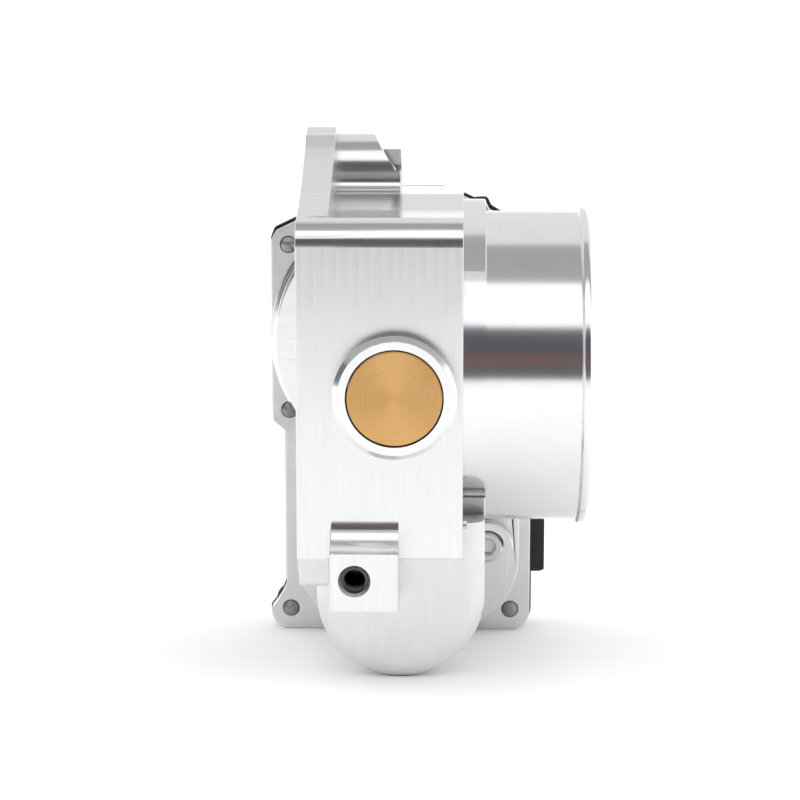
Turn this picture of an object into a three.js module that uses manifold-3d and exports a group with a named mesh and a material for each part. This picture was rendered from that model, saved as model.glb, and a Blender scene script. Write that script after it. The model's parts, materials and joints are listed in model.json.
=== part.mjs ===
// Drive-by-wire throttle body. A machined billet housing carries a valve plate on a shaft that runs
// in two ball bearings, and a DC motor in a barrel below the bore turns it through two pairs of spur
// gears behind a moulded cover. Millimetres.
// Bore and shaft cross at the working origin: +X runs along the bore to the hose spigot, +Y along
// the shaft to the gears, +Z is up. The finished group is moved to stand on the middle of its base.
import * as THREE from 'three';
import { mergeVertices } from 'three/addons/utils/BufferGeometryUtils.js';
import Module from 'manifold-3d';

const wasm = await Module();
wasm.setup();

// ---------------------------------------------------------------- driving dimensions
const GAP = 0.3; // clearance between neighbouring pieces
const CUT = 1; // how far a cutting tool runs past the face it opens

// Bore, hose spigot and collar
const BORE_RADIUS = 36;
const SPIGOT_WALL = 2.1;
const SPIGOT_LENGTH = 25.1;
const BEAD_HEIGHT = 0.95;
const BEAD_WIDTH = 2;
const BEAD_SETBACK = 0.7;
const COLLAR_LENGTH = 5.4;
const COLLAR_STEP = 2.9;
const COLLAR_WAIST_STEP = 1.3;
const COLLAR_WAIST_HALF = 27;

// Shaft block, measured outwards from the bore
const FLANGE_FACE_X = -22.9;
const BLOCK_LENGTH = 38.6;
const FRONT_WALL = 8.5;
const TOP_WALL = 4.3;
const UPPER_TOP_WALL = 6.6;
const BOTTOM_WALL = 2.8;
const BLOCK_FILLET = 6.4;
const RAMP_START_Y = -22;
const RAMP_END_Y = -3;
const UPPER_FLAT_END_Y = 22;

// Manifold flange and its bolts
const FLANGE_THICKNESS = 7.2;
const EAR_RISE = 20.6;
const EAR_START_Y = -1;
const EAR_CREST = 1.75;
const EAR_CREST_Y = 5;
const EAR_DROP = 3.1;
const EAR_END_Y = 24;
const EAR_PULL_Y = -18;
const EAR_PULL_RISE = 4.3;
const LOWER_EDGE_INSET = 8;
const LOWER_EDGE_Z = -47.7;
const LOWER_EDGE_END_Y = -18;
const BOLT_HOLE_RADIUS = 3.4;
const TAPPED_HOLE_RADIUS = 2.6;
const NEAR_BOLT_INSET = 7.8;
const NEAR_BOLT_Z = 30;
const FAR_BOLT_Y = 15;
const FAR_BOLT_RISE = 11;
const BOLT_BOSS_RADIUS = 9;
const BOLT_BOSS_LENGTH = 15.7;
const BOLT_BOSS_STEP = 5.4;
const BOLT_BOSS_FILLET = 3;
const SLANT_TOP_SETBACK = 6.6;
const SLANT_END_SETBACK = 1.2;
const SLANT_END_RISE = 0.5;
const SLANT_DEPTH = 3;
const O_RING_SECTION = 1.15;
const O_RING_CLEARANCE = 3.6;

// Round boss, bearings, seals and plug on the shaft axis
const SHAFT_RADIUS = 4;
const SHAFT_BORE_DEPTH = 12;
const BEARING_RADIUS = 11;
const BEARING_WIDTH = 7;
const SEAL_RADIUS = 8;
const SEAL_WIDTH = 1.4;
const SEAL_INSET = 0.8;
const PLUG_THICKNESS = 4;
const BOSS_WALL = 3.05;
const BOSS_HEIGHT = 5.5;
const BOSS_CHAMFER = 1.15;

// Bracket lug with a tapped hole, on the front of the block
const LUG_X = -7;
const LUG_WIDTH = 16;
const LUG_DEPTH = 7;
const LUG_TOP_Z = -36;
const LUG_HEIGHT = 13.5;
const LUG_HOLE_X = -9.2;
const LUG_HOLE_Z = -42.4;
const LUG_HOLE_RADIUS = 2.5;
const LUG_HOLE_DEPTH = 13;

// Motor and its barrel
const MOTOR_X = 1;
const MOTOR_RADIUS = 14;
const MOTOR_WALL = 2.1;
const BARREL_RADIUS = 20;
const BARREL_BOTTOM_WALL = 3.7;
const BARREL_FRONT_Y = -36;
const BARREL_FILLET = 4.5;
const BARREL_END_WALL = 11.5;
const WEB_RISE = 6.8;
const CAN_WALL = 1.1;
const WASHER_SPACE = 3.5;
const MOTOR_SCREW_RADIUS = 1.5;
const MOTOR_SCREW_SPREAD = 5;
const CAN_MOUTH = 2.6;
const MOTOR_SHAFT_RADIUS = 1.5;
const ARMATURE_RADIUS = 9.6;
const ARMATURE_LENGTH = 35;

// Gear train: sector on the throttle shaft, double intermediate gear, motor pinion
const SECTOR_TEETH = 66;
const SMALL_TEETH = 15;
const LARGE_TEETH = 42;
const PINION_TEETH = 12;
const GEAR_SLACK = 1.03; // the two centre distances over the straight line from shaft to motor
const SECTOR_WIDTH = 6;
const LARGE_GEAR_WIDTH = 5;
const BACKLASH = 0.34;
const GEAR_PIN_RADIUS = 2.5;
const SECTOR_HUB_RADIUS = 10;
const GEAR_HUB_RADIUS = 5;
const STOP_LUG_ANGLE = 0.14;

// Throttle angles in degrees: rest is the limp-home opening
const REST_ANGLE = 7;
const OPEN_TRAVEL = 83;
const PLATE_THICKNESS = 2;
const PLATE_CLEARANCE = 0.4;
const PLATE_SCREW_RADIUS = 1.6;
const PLATE_SEAT_X = 3.3;
const PLATE_SEAT_HALF = 3.8;

// Gear case, cover and connector behind the block
const DRUM_SETBACK = 0.5;
const REAR_FLANGE_SETBACK = 5.5;
const CASE_SETBACK = 11.3;
const CASE_THICKNESS = 6;
const CASE_FLOOR = 3;
const CASE_WALL = 3.6;
const CASE_CORNER = 5;
const CASE_NECK = 4; // how far the lobe draws in at its top
const CASE_FOOT = 0.7; // how far the lower left ear stands out past the side
const CASE_WAIST = 3.4; // how far the side steps in above that ear
const LOBE_CORNER = 20;
const GASKET_THICKNESS = 0.8;
const COVER_FLANGE = 3.2;
const COVER_WALL = 2.3;
const COVER_OVERHANG = 0.6;
const POST_WALL = 2.6;
const SCREW_RADIUS = 2;
const FRONT_SCREW_HEAD_RADIUS = 4.4;
const FRONT_SCREW_BOSS_RADIUS = 6.9;
const DOME_CORNER = 12;
const CONNECTOR_REACH = 4.25;
const CONNECTOR_HEIGHT = 36.5;
const CONNECTOR_DEPTH = 15;
const CONNECTOR_WALL = 2;
const PIN_COUNT = 6;
const PIN_MARGIN = 6.25;
const PIN_HALF_WIDTH = 0.75;
const PIN_HALF_THICKNESS = 0.4;

// ---------------------------------------------------------------- places that follow from them
const BLOCK_END_X = FLANGE_FACE_X + BLOCK_LENGTH;
const COLLAR_END_X = BLOCK_END_X + COLLAR_LENGTH;
const SPIGOT_END_X = COLLAR_END_X + SPIGOT_LENGTH;
const SPIGOT_RADIUS = BORE_RADIUS + SPIGOT_WALL;
const COLLAR_RADIUS = SPIGOT_RADIUS + COLLAR_STEP;
const FLANGE_BACK_X = FLANGE_FACE_X + FLANGE_THICKNESS;
const FRONT_Y = -(BORE_RADIUS + FRONT_WALL);
const TOP_Z = BORE_RADIUS + TOP_WALL;
const UPPER_TOP_Z = BORE_RADIUS + UPPER_TOP_WALL;
const BOTTOM_Z = -(BORE_RADIUS + BOTTOM_WALL);
const EAR_TOP_Z = BORE_RADIUS + EAR_RISE;
const EAR_CREST_Z = EAR_TOP_Z + EAR_CREST;
const NEAR_BOLT_Y = FRONT_Y + NEAR_BOLT_INSET;
const FAR_BOLT_Z = BORE_RADIUS + FAR_BOLT_RISE;
const BOSS_FACE_Y = FRONT_Y - BOSS_HEIGHT;
const LUG_FACE_Y = FRONT_Y - LUG_DEPTH;
const DRUM_FRONT_Y = BORE_RADIUS + DRUM_SETBACK;
const REAR_FLANGE_Y = BORE_RADIUS + REAR_FLANGE_SETBACK;
const REAR_FACE_Y = BORE_RADIUS + CASE_SETBACK;
const MOTOR_BORE_RADIUS = MOTOR_RADIUS + GAP;
const MOTOR_Z = -(BORE_RADIUS + MOTOR_WALL + MOTOR_BORE_RADIUS);
const BARREL_Z = MOTOR_Z - MOTOR_BORE_RADIUS - BARREL_BOTTOM_WALL + BARREL_RADIUS;

const MOTOR_SPAN = Math.hypot(MOTOR_X, MOTOR_Z);
const ALL_TEETH = SECTOR_TEETH + SMALL_TEETH + LARGE_TEETH + PINION_TEETH;
const GEAR_MODULE = (2 * MOTOR_SPAN * GEAR_SLACK) / ALL_TEETH;
const SECTOR_TO_IDLER = (GEAR_MODULE * (SECTOR_TEETH + SMALL_TEETH)) / 2;
const IDLER_TO_MOTOR = (GEAR_MODULE * (LARGE_TEETH + PINION_TEETH)) / 2;
const SECTOR_TIP = GEAR_MODULE * (SECTOR_TEETH / 2 + 1);
const LARGE_TIP = GEAR_MODULE * (LARGE_TEETH / 2 + 1);
const IDLER = idlerCentre();
const MOTOR = { x: MOTOR_X, z: MOTOR_Z };
const SHAFT = { x: 0, z: 0 };

const DRUM_RADIUS = SECTOR_TIP + 6.6;
const SPRING_POCKET_OUTER = SECTOR_TO_IDLER - GEAR_PIN_RADIUS - 3.4;
const SPRING_POCKET_INNER = BEARING_RADIUS + 4;
const CASE_FRONT_Y = REAR_FACE_Y + GAP;
const CASE_FLOOR_Y = CASE_FRONT_Y + CASE_FLOOR;
const CASE_REAR_Y = CASE_FRONT_Y + CASE_THICKNESS;
const COVER_FRONT_Y = CASE_REAR_Y + GASKET_THICKNESS + 0.2;
const COVER_SEAT_Y = COVER_FRONT_Y + COVER_FLANGE;
const SECTOR_Y = CASE_FLOOR_Y + 3.4;
const LARGE_GEAR_Y = SECTOR_Y + SECTOR_WIDTH + 2;
const COVER_INNER_Y = LARGE_GEAR_Y + LARGE_GEAR_WIDTH + 4;
const COVER_OUTER_Y = COVER_INNER_Y + COVER_WALL + 0.1;
const CASE_LEFT = -(SECTOR_TIP + 8.2);
const CASE_RIGHT = SECTOR_TIP + 6.9;
const CASE_TOP_RADIUS = SECTOR_TIP + 13.2;
const CASE_TOP_FLAT = SECTOR_TIP + 11.9;
const CASE_BOTTOM = MOTOR_Z - MOTOR_RADIUS - 14.3;
const DOME_RADIUS = SECTOR_TIP + 2 + COVER_WALL;
const DOME_LEFT = IDLER.x - LARGE_TIP - 0.9 - COVER_WALL;
const DOME_RIGHT = MOTOR_X + 17.5;
const DOME_BOTTOM = MOTOR_Z - MOTOR_RADIUS - 6.6;
const CONNECTOR_X = DOME_RIGHT + GAP;
const CONNECTOR_END_X = CASE_RIGHT + CONNECTOR_REACH;
const CONNECTOR_BOTTOM = CASE_BOTTOM + 13.6;
const CONNECTOR_Y = COVER_SEAT_Y + GAP;

// Cover screws stand in from the case outline; those on the right stay clear of the drum
const RIGHT_SCREW_X = CASE_RIGHT - 6 + SCREW_RADIUS;
const COVER_SCREWS = [
  { x: CASE_LEFT + 4.6, z: SECTOR_TIP - 2.6 },
  { x: CASE_LEFT + 4.6, z: -(SECTOR_TIP - 7.2) },
  { x: CASE_LEFT + 4.6, z: CASE_BOTTOM + 5.8 },
  { x: CASE_RIGHT - 5.3, z: CASE_BOTTOM + 5.8 },
  { x: RIGHT_SCREW_X, z: -(SECTOR_TIP - 7.2) },
  { x: RIGHT_SCREW_X, z: SECTOR_TIP - 2.6 },
];
// One case screw is driven from the front beside the barrel, the others from inside the case
const FRONT_CASE_SCREW = { x: MOTOR_X + BARREL_RADIUS + 1.4, z: MOTOR_Z - 2.8 };
const INNER_SCREW_CIRCLE = (SPRING_POCKET_OUTER + DRUM_RADIUS) / 2 + 0.1;
const INNER_CASE_SCREWS = [150, 90, 30].map((degrees) => polar(SHAFT, INNER_SCREW_CIRCLE, degrees));
const MOTOR_SCREWS = [60, 240].map((degrees) => polar(MOTOR, MOTOR_RADIUS + MOTOR_SCREW_SPREAD, degrees));

// ---------------------------------------------------------------- finishes
const FINISHES = {
  machinedAluminium: { color: 0xd5d6d8, roughness: 0.25, metalness: 1 },
  castAluminium: { color: 0xc9cbce, roughness: 0.45, metalness: 1 },
  bronze: { color: 0xddae6e, roughness: 0.35, metalness: 1 },
  steel: { color: 0xa9a6a3, roughness: 0.35, metalness: 1 },
  springSteel: { color: 0x8d8f93, roughness: 0.4, metalness: 1 },
  brassPlate: { color: 0xcaa45e, roughness: 0.4, metalness: 1 },
  copper: { color: 0xb87346, roughness: 0.4, metalness: 1 },
  blackPlastic: { color: 0x26272a, roughness: 0.55, metalness: 0 },
  naturalPlastic: { color: 0xd8d2bf, roughness: 0.5, metalness: 0 },
  blackRubber: { color: 0x1d1d1e, roughness: 0.8, metalness: 0 },
  magnet: { color: 0x4b4b50, roughness: 0.6, metalness: 0.4 },
  circuitBoard: { color: 0x1f5b3a, roughness: 0.5, metalness: 0 },
};

// ---------------------------------------------------------------- geometry helpers
function polar(centre, radius, degrees) {
  const angle = THREE.MathUtils.degToRad(degrees);
  return { x: centre.x + radius * Math.cos(angle), z: centre.z + radius * Math.sin(angle) };
}

// The intermediate gear sits where its two centre distances meet, on the flange side of the motor
function idlerCentre() {
  const along = (SECTOR_TO_IDLER ** 2 - IDLER_TO_MOTOR ** 2 + MOTOR_SPAN ** 2) / (2 * MOTOR_SPAN);
  const aside = Math.sqrt(SECTOR_TO_IDLER ** 2 - along ** 2);
  const ux = MOTOR_X / MOTOR_SPAN;
  const uz = MOTOR_Z / MOTOR_SPAN;
  return { x: along * ux + aside * uz, z: along * uz - aside * ux };
}

// A closed three.js geometry as a solid for joining and cutting
function solid(geometry) {
  geometry.deleteAttribute('normal');
  geometry.deleteAttribute('uv');
  const merged = mergeVertices(geometry, 1e-4);
  const corners = merged.index.array;
  const vertices = merged.attributes.position.array;
  const triangles = [];
  let volume = 0;
  for (let i = 0; i < corners.length; i += 3) {
    const [a, b, c] = [corners[i], corners[i + 1], corners[i + 2]];
    if (a === b || b === c || c === a) continue;
    triangles.push([a, b, c]);
    const [p, q, r] = [a, b, c].map((k) => new THREE.Vector3().fromArray(vertices, 3 * k));
    volume += p.dot(q.cross(r));
  }
  const ordered = volume < 0 ? triangles.map(([a, b, c]) => [a, c, b]) : triangles;
  return new wasm.Manifold(new wasm.Mesh({
    numProp: 3,
    vertProperties: new Float32Array(vertices),
    triVerts: new Uint32Array(ordered.flat()),
  }));
}

function join(...solids) {
  return solids.reduce((whole, piece) => whole.add(piece));
}

function cut(body, ...tools) {
  return tools.reduce((rest, tool) => rest.subtract(tool), body);
}

function extruded(shape, depth, curveSegments) {
  return new THREE.ExtrudeGeometry(shape, { depth, bevelEnabled: false, curveSegments });
}

// Prism along X of a shape drawn in (Y, Z)
function prismX(shape, x0, x1, curveSegments = 12) {
  const turn = new THREE.Matrix4().set(0, 0, 1, x0, 1, 0, 0, 0, 0, 1, 0, 0, 0, 0, 0, 1);
  return solid(extruded(shape, x1 - x0, curveSegments).applyMatrix4(turn));
}

// Prism along Y of a shape drawn in (X, Z)
function prismY(shape, y0, y1, curveSegments = 12) {
  const turn = new THREE.Matrix4().set(1, 0, 0, 0, 0, 0, -1, y1, 0, 1, 0, 0, 0, 0, 0, 1);
  return solid(extruded(shape, y1 - y0, curveSegments).applyMatrix4(turn));
}

function box(x0, x1, y0, y1, z0, z1) {
  const geometry = new THREE.BoxGeometry(x1 - x0, y1 - y0, z1 - z0);
  return solid(geometry.translate((x0 + x1) / 2, (y0 + y1) / 2, (z0 + z1) / 2));
}

// Round bar along Y at a centre in (X, Z)
function rodY(radius, y0, y1, centre = SHAFT, sides = 24) {
  const geometry = new THREE.CylinderGeometry(radius, radius, y1 - y0, sides);
  return solid(geometry.translate(centre.x, (y0 + y1) / 2, centre.z));
}

// Round bar along X at (Y, Z)
function rodX(radius, x0, x1, y = 0, z = 0, sides = 24) {
  const geometry = new THREE.CylinderGeometry(radius, radius, x1 - x0, sides);
  return solid(geometry.rotateZ(Math.PI / 2).translate((x0 + x1) / 2, y, z));
}

// Body turned about the Y line through a centre, from [radius, y] points
function turnedY(points, centre = SHAFT, sides = 24) {
  const profile = points.map(([radius, y]) => new THREE.Vector2(radius, y));
  return solid(new THREE.LatheGeometry(profile, sides).translate(centre.x, 0, centre.z));
}

// Body turned about an X line at a given Y, from [radius, x] points
function turnedX(points, sides = 48, y = 0) {
  const profile = points.map(([radius, x]) => new THREE.Vector2(radius, x));
  return solid(new THREE.LatheGeometry(profile, sides).rotateZ(-Math.PI / 2).translate(0, y, 0));
}

function ringY(inner, outer, y0, y1, centre = SHAFT, sides = 24) {
  const points = [[inner, y0], [outer, y0], [outer, y1], [inner, y1], [inner, y0]];
  return turnedY(points, centre, sides);
}

function polygon(points) {
  return new THREE.Shape(points.map(([u, v]) => new THREE.Vector2(u, v)));
}

function mesh(name, body, finish) {
  const { vertProperties, triVerts } = body.getMesh();
  const geometry = new THREE.BufferGeometry();
  geometry.setAttribute('position', new THREE.BufferAttribute(new Float32Array(vertProperties), 3));
  geometry.setIndex(new THREE.BufferAttribute(new Uint32Array(triVerts), 1));
  geometry.computeVertexNormals();
  const result = new THREE.Mesh(geometry, new THREE.MeshStandardMaterial(FINISHES[finish]));
  result.name = name;
  return result;
}

// ---------------------------------------------------------------- housing
function blockOutline() {
  const shape = new THREE.Shape();
  shape.moveTo(FRONT_Y, BOTTOM_Z);
  shape.lineTo(FRONT_Y, TOP_Z - BLOCK_FILLET);
  shape.absarc(FRONT_Y + BLOCK_FILLET, TOP_Z - BLOCK_FILLET, BLOCK_FILLET, Math.PI, Math.PI / 2, true);
  shape.lineTo(RAMP_START_Y, TOP_Z);
  shape.lineTo(RAMP_END_Y, UPPER_TOP_Z);
  shape.lineTo(UPPER_FLAT_END_Y, UPPER_TOP_Z);
  shape.lineTo(UPPER_FLAT_END_Y, DRUM_RADIUS);
  shape.lineTo(REAR_FLANGE_Y, DRUM_RADIUS - 2);
  shape.lineTo(REAR_FLANGE_Y, BOTTOM_Z);
  return shape;
}

// Flange plate: a hollow curve climbs from the block to the upper ear, whose crest falls away to the
// rear; below the block the plate steps back and runs on to the lower ear
function flangeOutline() {
  const shape = new THREE.Shape();
  const cornerY = FRONT_Y + BLOCK_FILLET;
  const lowerY = FRONT_Y + LOWER_EDGE_INSET;
  shape.moveTo(FRONT_Y, BOTTOM_Z);
  shape.lineTo(FRONT_Y, TOP_Z - BLOCK_FILLET);
  shape.absarc(cornerY, TOP_Z - BLOCK_FILLET, BLOCK_FILLET, Math.PI, Math.PI / 2, true);
  shape.quadraticCurveTo(EAR_PULL_Y, TOP_Z + EAR_PULL_RISE, EAR_START_Y, EAR_TOP_Z);
  shape.lineTo(EAR_CREST_Y, EAR_CREST_Z);
  shape.lineTo(EAR_END_Y, EAR_TOP_Z - EAR_DROP);
  shape.lineTo(REAR_FLANGE_Y, TOP_Z);
  shape.lineTo(REAR_FLANGE_Y, -TOP_Z);
  shape.lineTo(EAR_END_Y, EAR_DROP - EAR_TOP_Z);
  shape.lineTo(EAR_CREST_Y, -EAR_TOP_Z);
  shape.lineTo(EAR_START_Y, -EAR_TOP_Z);
  shape.lineTo(LOWER_EDGE_END_Y, LOWER_EDGE_Z);
  shape.lineTo(lowerY, LOWER_EDGE_Z);
  shape.lineTo(lowerY, BOTTOM_Z);
  return shape;
}

// Seat for the upper far bolt: a round boss on a foot with a hollow fillet. Its end is cut back at a
// slant in front of the bolt, and stepped down behind it
function boltBoss() {
  const start = FLANGE_BACK_X - CUT;
  const end = FLANGE_BACK_X + BOLT_BOSS_LENGTH;
  const [frontY, backY] = [FAR_BOLT_Y - BOLT_BOSS_RADIUS, FAR_BOLT_Y + BOLT_BOSS_RADIUS];
  const topZ = FAR_BOLT_Z + BOLT_BOSS_RADIUS;
  const foot = new THREE.Shape();
  foot.moveTo(backY, UPPER_TOP_Z - CUT);
  foot.lineTo(backY, FAR_BOLT_Z);
  foot.lineTo(frontY, FAR_BOLT_Z);
  foot.lineTo(frontY, UPPER_TOP_Z + BOLT_BOSS_FILLET);
  foot.absarc(frontY - BOLT_BOSS_FILLET, UPPER_TOP_Z + BOLT_BOSS_FILLET, BOLT_BOSS_FILLET, 0, -Math.PI / 2, true);
  foot.lineTo(frontY - BOLT_BOSS_FILLET, UPPER_TOP_Z - CUT);
  const head = rodX(BOLT_BOSS_RADIUS, start, end, FAR_BOLT_Y, FAR_BOLT_Z, 20);
  const slantTop = end - SLANT_TOP_SETBACK;
  const slantEnd = end - SLANT_END_SETBACK;
  const stepZ = FAR_BOLT_Z + BOLT_BOSS_STEP;
  const reach = BOLT_BOSS_RADIUS + CUT;
  const slant = [[slantTop, topZ], [slantEnd, FAR_BOLT_Z + SLANT_END_RISE], [end + CUT, FAR_BOLT_Z + SLANT_END_RISE],
    [end + CUT, topZ + CUT], [slantTop, topZ + CUT]];
  const stepX = slantTop + ((topZ - stepZ) / (topZ - FAR_BOLT_Z)) * (slantEnd - slantTop);
  const step = [[slantTop, topZ], [stepX, stepZ], [end + CUT, stepZ], [end + CUT, topZ + CUT],
    [slantTop, topZ + CUT]];
  return cut(join(prismX(foot, start, end, 4), head),
    prismY(polygon(slant), FAR_BOLT_Y - reach, FAR_BOLT_Y - SLANT_DEPTH),
    prismY(polygon(step), FAR_BOLT_Y - reach, FAR_BOLT_Y + reach));
}

function spigotAndCollar() {
  const beadEnd = SPIGOT_END_X - BEAD_SETBACK;
  const beadStart = beadEnd - BEAD_WIDTH;
  const spigot = turnedX([
    [0, 0], [SPIGOT_RADIUS, 0], [SPIGOT_RADIUS, beadStart], [SPIGOT_RADIUS + BEAD_HEIGHT, beadStart],
    [SPIGOT_RADIUS + BEAD_HEIGHT, beadEnd - 0.8], [SPIGOT_RADIUS + 0.3, beadEnd],
    [SPIGOT_RADIUS - 0.2, SPIGOT_END_X], [0, SPIGOT_END_X],
  ], 48);
  const waistRadius = SPIGOT_RADIUS + COLLAR_WAIST_STEP;
  const reach = COLLAR_RADIUS + CUT;
  const waist = box(-CUT, COLLAR_END_X + CUT, -reach, reach, -COLLAR_WAIST_HALF, COLLAR_WAIST_HALF);
  const pads = cut(rodX(COLLAR_RADIUS, 0, COLLAR_END_X, 0, 0, 48), waist);
  return join(pads, rodX(waistRadius, 0, COLLAR_END_X, 0, 0, 48), spigot);
}

function motorBarrel() {
  const steps = 3;
  const profile = [[0, BARREL_FRONT_Y]];
  for (let i = 0; i <= steps; i += 1) {
    const angle = (i / steps) * (Math.PI / 2);
    const radius = BARREL_RADIUS - BARREL_FILLET * (1 - Math.sin(angle));
    profile.push([radius, BARREL_FRONT_Y + BARREL_FILLET * (1 - Math.cos(angle))]);
  }
  profile.push([BARREL_RADIUS, REAR_FLANGE_Y + CUT], [0, REAR_FLANGE_Y + CUT]);
  const barrel = turnedY(profile, { x: MOTOR_X, z: BARREL_Z }, 28);
  const web = box(MOTOR_X - BARREL_RADIUS, MOTOR_X + BARREL_RADIUS, BARREL_FRONT_Y,
    REAR_FLANGE_Y + CUT, BARREL_Z, BOTTOM_Z + WEB_RISE);
  return join(barrel, web);
}

function bracketLug() {
  const lug = new THREE.Shape();
  const back = BARREL_FRONT_Y + 4;
  lug.moveTo(back, LUG_TOP_Z + LUG_DEPTH);
  lug.lineTo(FRONT_Y, LUG_TOP_Z + LUG_DEPTH);
  lug.absarc(LUG_FACE_Y, LUG_TOP_Z + LUG_DEPTH, LUG_DEPTH, 0, -Math.PI / 2, true);
  lug.lineTo(LUG_FACE_Y, LUG_TOP_Z - LUG_HEIGHT);
  lug.lineTo(back, LUG_TOP_Z - LUG_HEIGHT);
  return prismX(lug, LUG_X - LUG_WIDTH / 2, LUG_X + LUG_WIDTH / 2, 4);
}

// Raised rear flange: the drum round the shaft and a lobe round the motor
function rearFlange() {
  const drum = rodY(DRUM_RADIUS, DRUM_FRONT_Y, REAR_FACE_Y, SHAFT, 32);
  const left = CASE_LEFT + 6.6;
  const right = CASE_RIGHT - 3.1;
  const bottom = CASE_BOTTOM + 1.4;
  const shoulderZ = -(SECTOR_TIP + 2.8);
  const neckZ = -(SECTOR_TIP - 5.2);
  const lobe = new THREE.Shape();
  lobe.moveTo(left, shoulderZ);
  lobe.absarc(left + LOBE_CORNER, bottom + LOBE_CORNER, LOBE_CORNER, Math.PI, 1.5 * Math.PI, false);
  lobe.absarc(right - LOBE_CORNER, bottom + LOBE_CORNER, LOBE_CORNER, 1.5 * Math.PI, 2 * Math.PI, false);
  lobe.lineTo(right, shoulderZ);
  lobe.lineTo(right - CASE_NECK, neckZ);
  lobe.lineTo(left + CASE_NECK, neckZ);
  return join(drum, prismY(lobe, REAR_FLANGE_Y, REAR_FACE_Y, 6));
}

function bearingPocket(side) {
  const wall = BORE_RADIUS + SEAL_INSET;
  const seat = wall + SEAL_WIDTH + 0.2;
  const mouth = side < 0 ? -BOSS_FACE_Y + CUT : REAR_FACE_Y + CUT;
  return turnedY([
    [0, side * (BORE_RADIUS - SHAFT_BORE_DEPTH)], [SHAFT_RADIUS + 0.4, side * (BORE_RADIUS - SHAFT_BORE_DEPTH)],
    [SHAFT_RADIUS + 0.4, side * wall], [SEAL_RADIUS + GAP, side * wall],
    [SEAL_RADIUS + GAP, side * seat], [BEARING_RADIUS + GAP, side * seat],
    [BEARING_RADIUS + GAP, side * mouth], [0, side * mouth],
  ], SHAFT, 20);
}

// Half-round boss that roofs the head of the front case screw
function frontScrewBoss() {
  const reach = FRONT_SCREW_BOSS_RADIUS + CUT;
  const { x, z } = FRONT_CASE_SCREW;
  const round = rodY(FRONT_SCREW_BOSS_RADIUS, DRUM_FRONT_Y, REAR_FLANGE_Y + CUT, FRONT_CASE_SCREW, 24);
  return cut(round, box(x - reach, x + reach, DRUM_FRONT_Y - CUT, REAR_FLANGE_Y, z - reach, z));
}

function housing() {
  const boss = turnedY([
    [0, FRONT_Y + CUT], [BEARING_RADIUS + GAP + BOSS_WALL, FRONT_Y + CUT],
    [BEARING_RADIUS + GAP + BOSS_WALL, BOSS_FACE_Y + BOSS_CHAMFER],
    [BEARING_RADIUS + GAP + BOSS_WALL - BOSS_CHAMFER, BOSS_FACE_Y], [0, BOSS_FACE_Y],
  ], SHAFT, 28);
  const screwBoss = frontScrewBoss();
  const raw = join(
    prismX(blockOutline(), FLANGE_FACE_X, BLOCK_END_X, 4),
    prismX(flangeOutline(), FLANGE_FACE_X, FLANGE_BACK_X, 4),
    spigotAndCollar(), motorBarrel(), bracketLug(), rearFlange(), boltBoss(), boss, screwBoss,
  );
  const boltRun = [FLANGE_FACE_X - CUT, BLOCK_END_X + CUT];
  const groove = turnedX(grooveProfile(), 32);
  const lugHole = turnedY([
    [0, LUG_FACE_Y - CUT], [LUG_HOLE_RADIUS + 1 + CUT, LUG_FACE_Y - CUT],
    [LUG_HOLE_RADIUS, LUG_FACE_Y + 1], [LUG_HOLE_RADIUS, LUG_FACE_Y + LUG_HOLE_DEPTH],
    [0, LUG_FACE_Y + LUG_HOLE_DEPTH + 1.2],
  ], { x: LUG_HOLE_X, z: LUG_HOLE_Z }, 12);
  return cut(raw,
    rodX(BORE_RADIUS, FLANGE_FACE_X - CUT, SPIGOT_END_X + CUT, 0, 0, 48),
    bearingPocket(-1), bearingPocket(1), groove, lugHole,
    rodX(BOLT_HOLE_RADIUS, ...boltRun, NEAR_BOLT_Y, NEAR_BOLT_Z, 12),
    rodX(BOLT_HOLE_RADIUS, ...boltRun, NEAR_BOLT_Y, -NEAR_BOLT_Z, 12),
    rodX(BOLT_HOLE_RADIUS, ...boltRun, FAR_BOLT_Y, FAR_BOLT_Z, 12),
    rodX(TAPPED_HOLE_RADIUS, FLANGE_FACE_X - CUT, FLANGE_BACK_X - 1.9, FAR_BOLT_Y, -FAR_BOLT_Z, 12),
    ringY(SPRING_POCKET_INNER, SPRING_POCKET_OUTER, BORE_RADIUS + 4, REAR_FACE_Y + CUT, SHAFT, 24),
    rodY(MOTOR_BORE_RADIUS, BARREL_FRONT_Y + BARREL_END_WALL, REAR_FACE_Y + CUT, MOTOR, 24),
    rodY(GEAR_PIN_RADIUS + GAP, REAR_FACE_Y - 4, REAR_FACE_Y + CUT, IDLER, 12),
    rodY(SCREW_RADIUS + GAP, DRUM_FRONT_Y - CUT, REAR_FACE_Y + CUT, FRONT_CASE_SCREW, 12),
    rodY(FRONT_SCREW_HEAD_RADIUS + GAP, DRUM_FRONT_Y - CUT, DRUM_FRONT_Y + 4.6, FRONT_CASE_SCREW, 20),
    ...INNER_CASE_SCREWS.map((at) => rodY(SCREW_RADIUS + GAP, REAR_FACE_Y - 6.5, REAR_FACE_Y + CUT, at, 8)),
    ...MOTOR_SCREWS.map((at) => rodY(MOTOR_SCREW_RADIUS + GAP, REAR_FACE_Y - 4, REAR_FACE_Y + CUT, at, 8)),
  );
}

function grooveProfile() {
  const middle = BORE_RADIUS + O_RING_CLEARANCE;
  const half = O_RING_SECTION + GAP;
  const floor = FLANGE_FACE_X + 2 * O_RING_SECTION + 2 * GAP;
  const mouth = FLANGE_FACE_X - CUT;
  return [[middle - half, mouth], [middle - half, floor], [middle + half, floor], [middle + half, mouth],
    [middle - half, mouth]];
}

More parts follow.
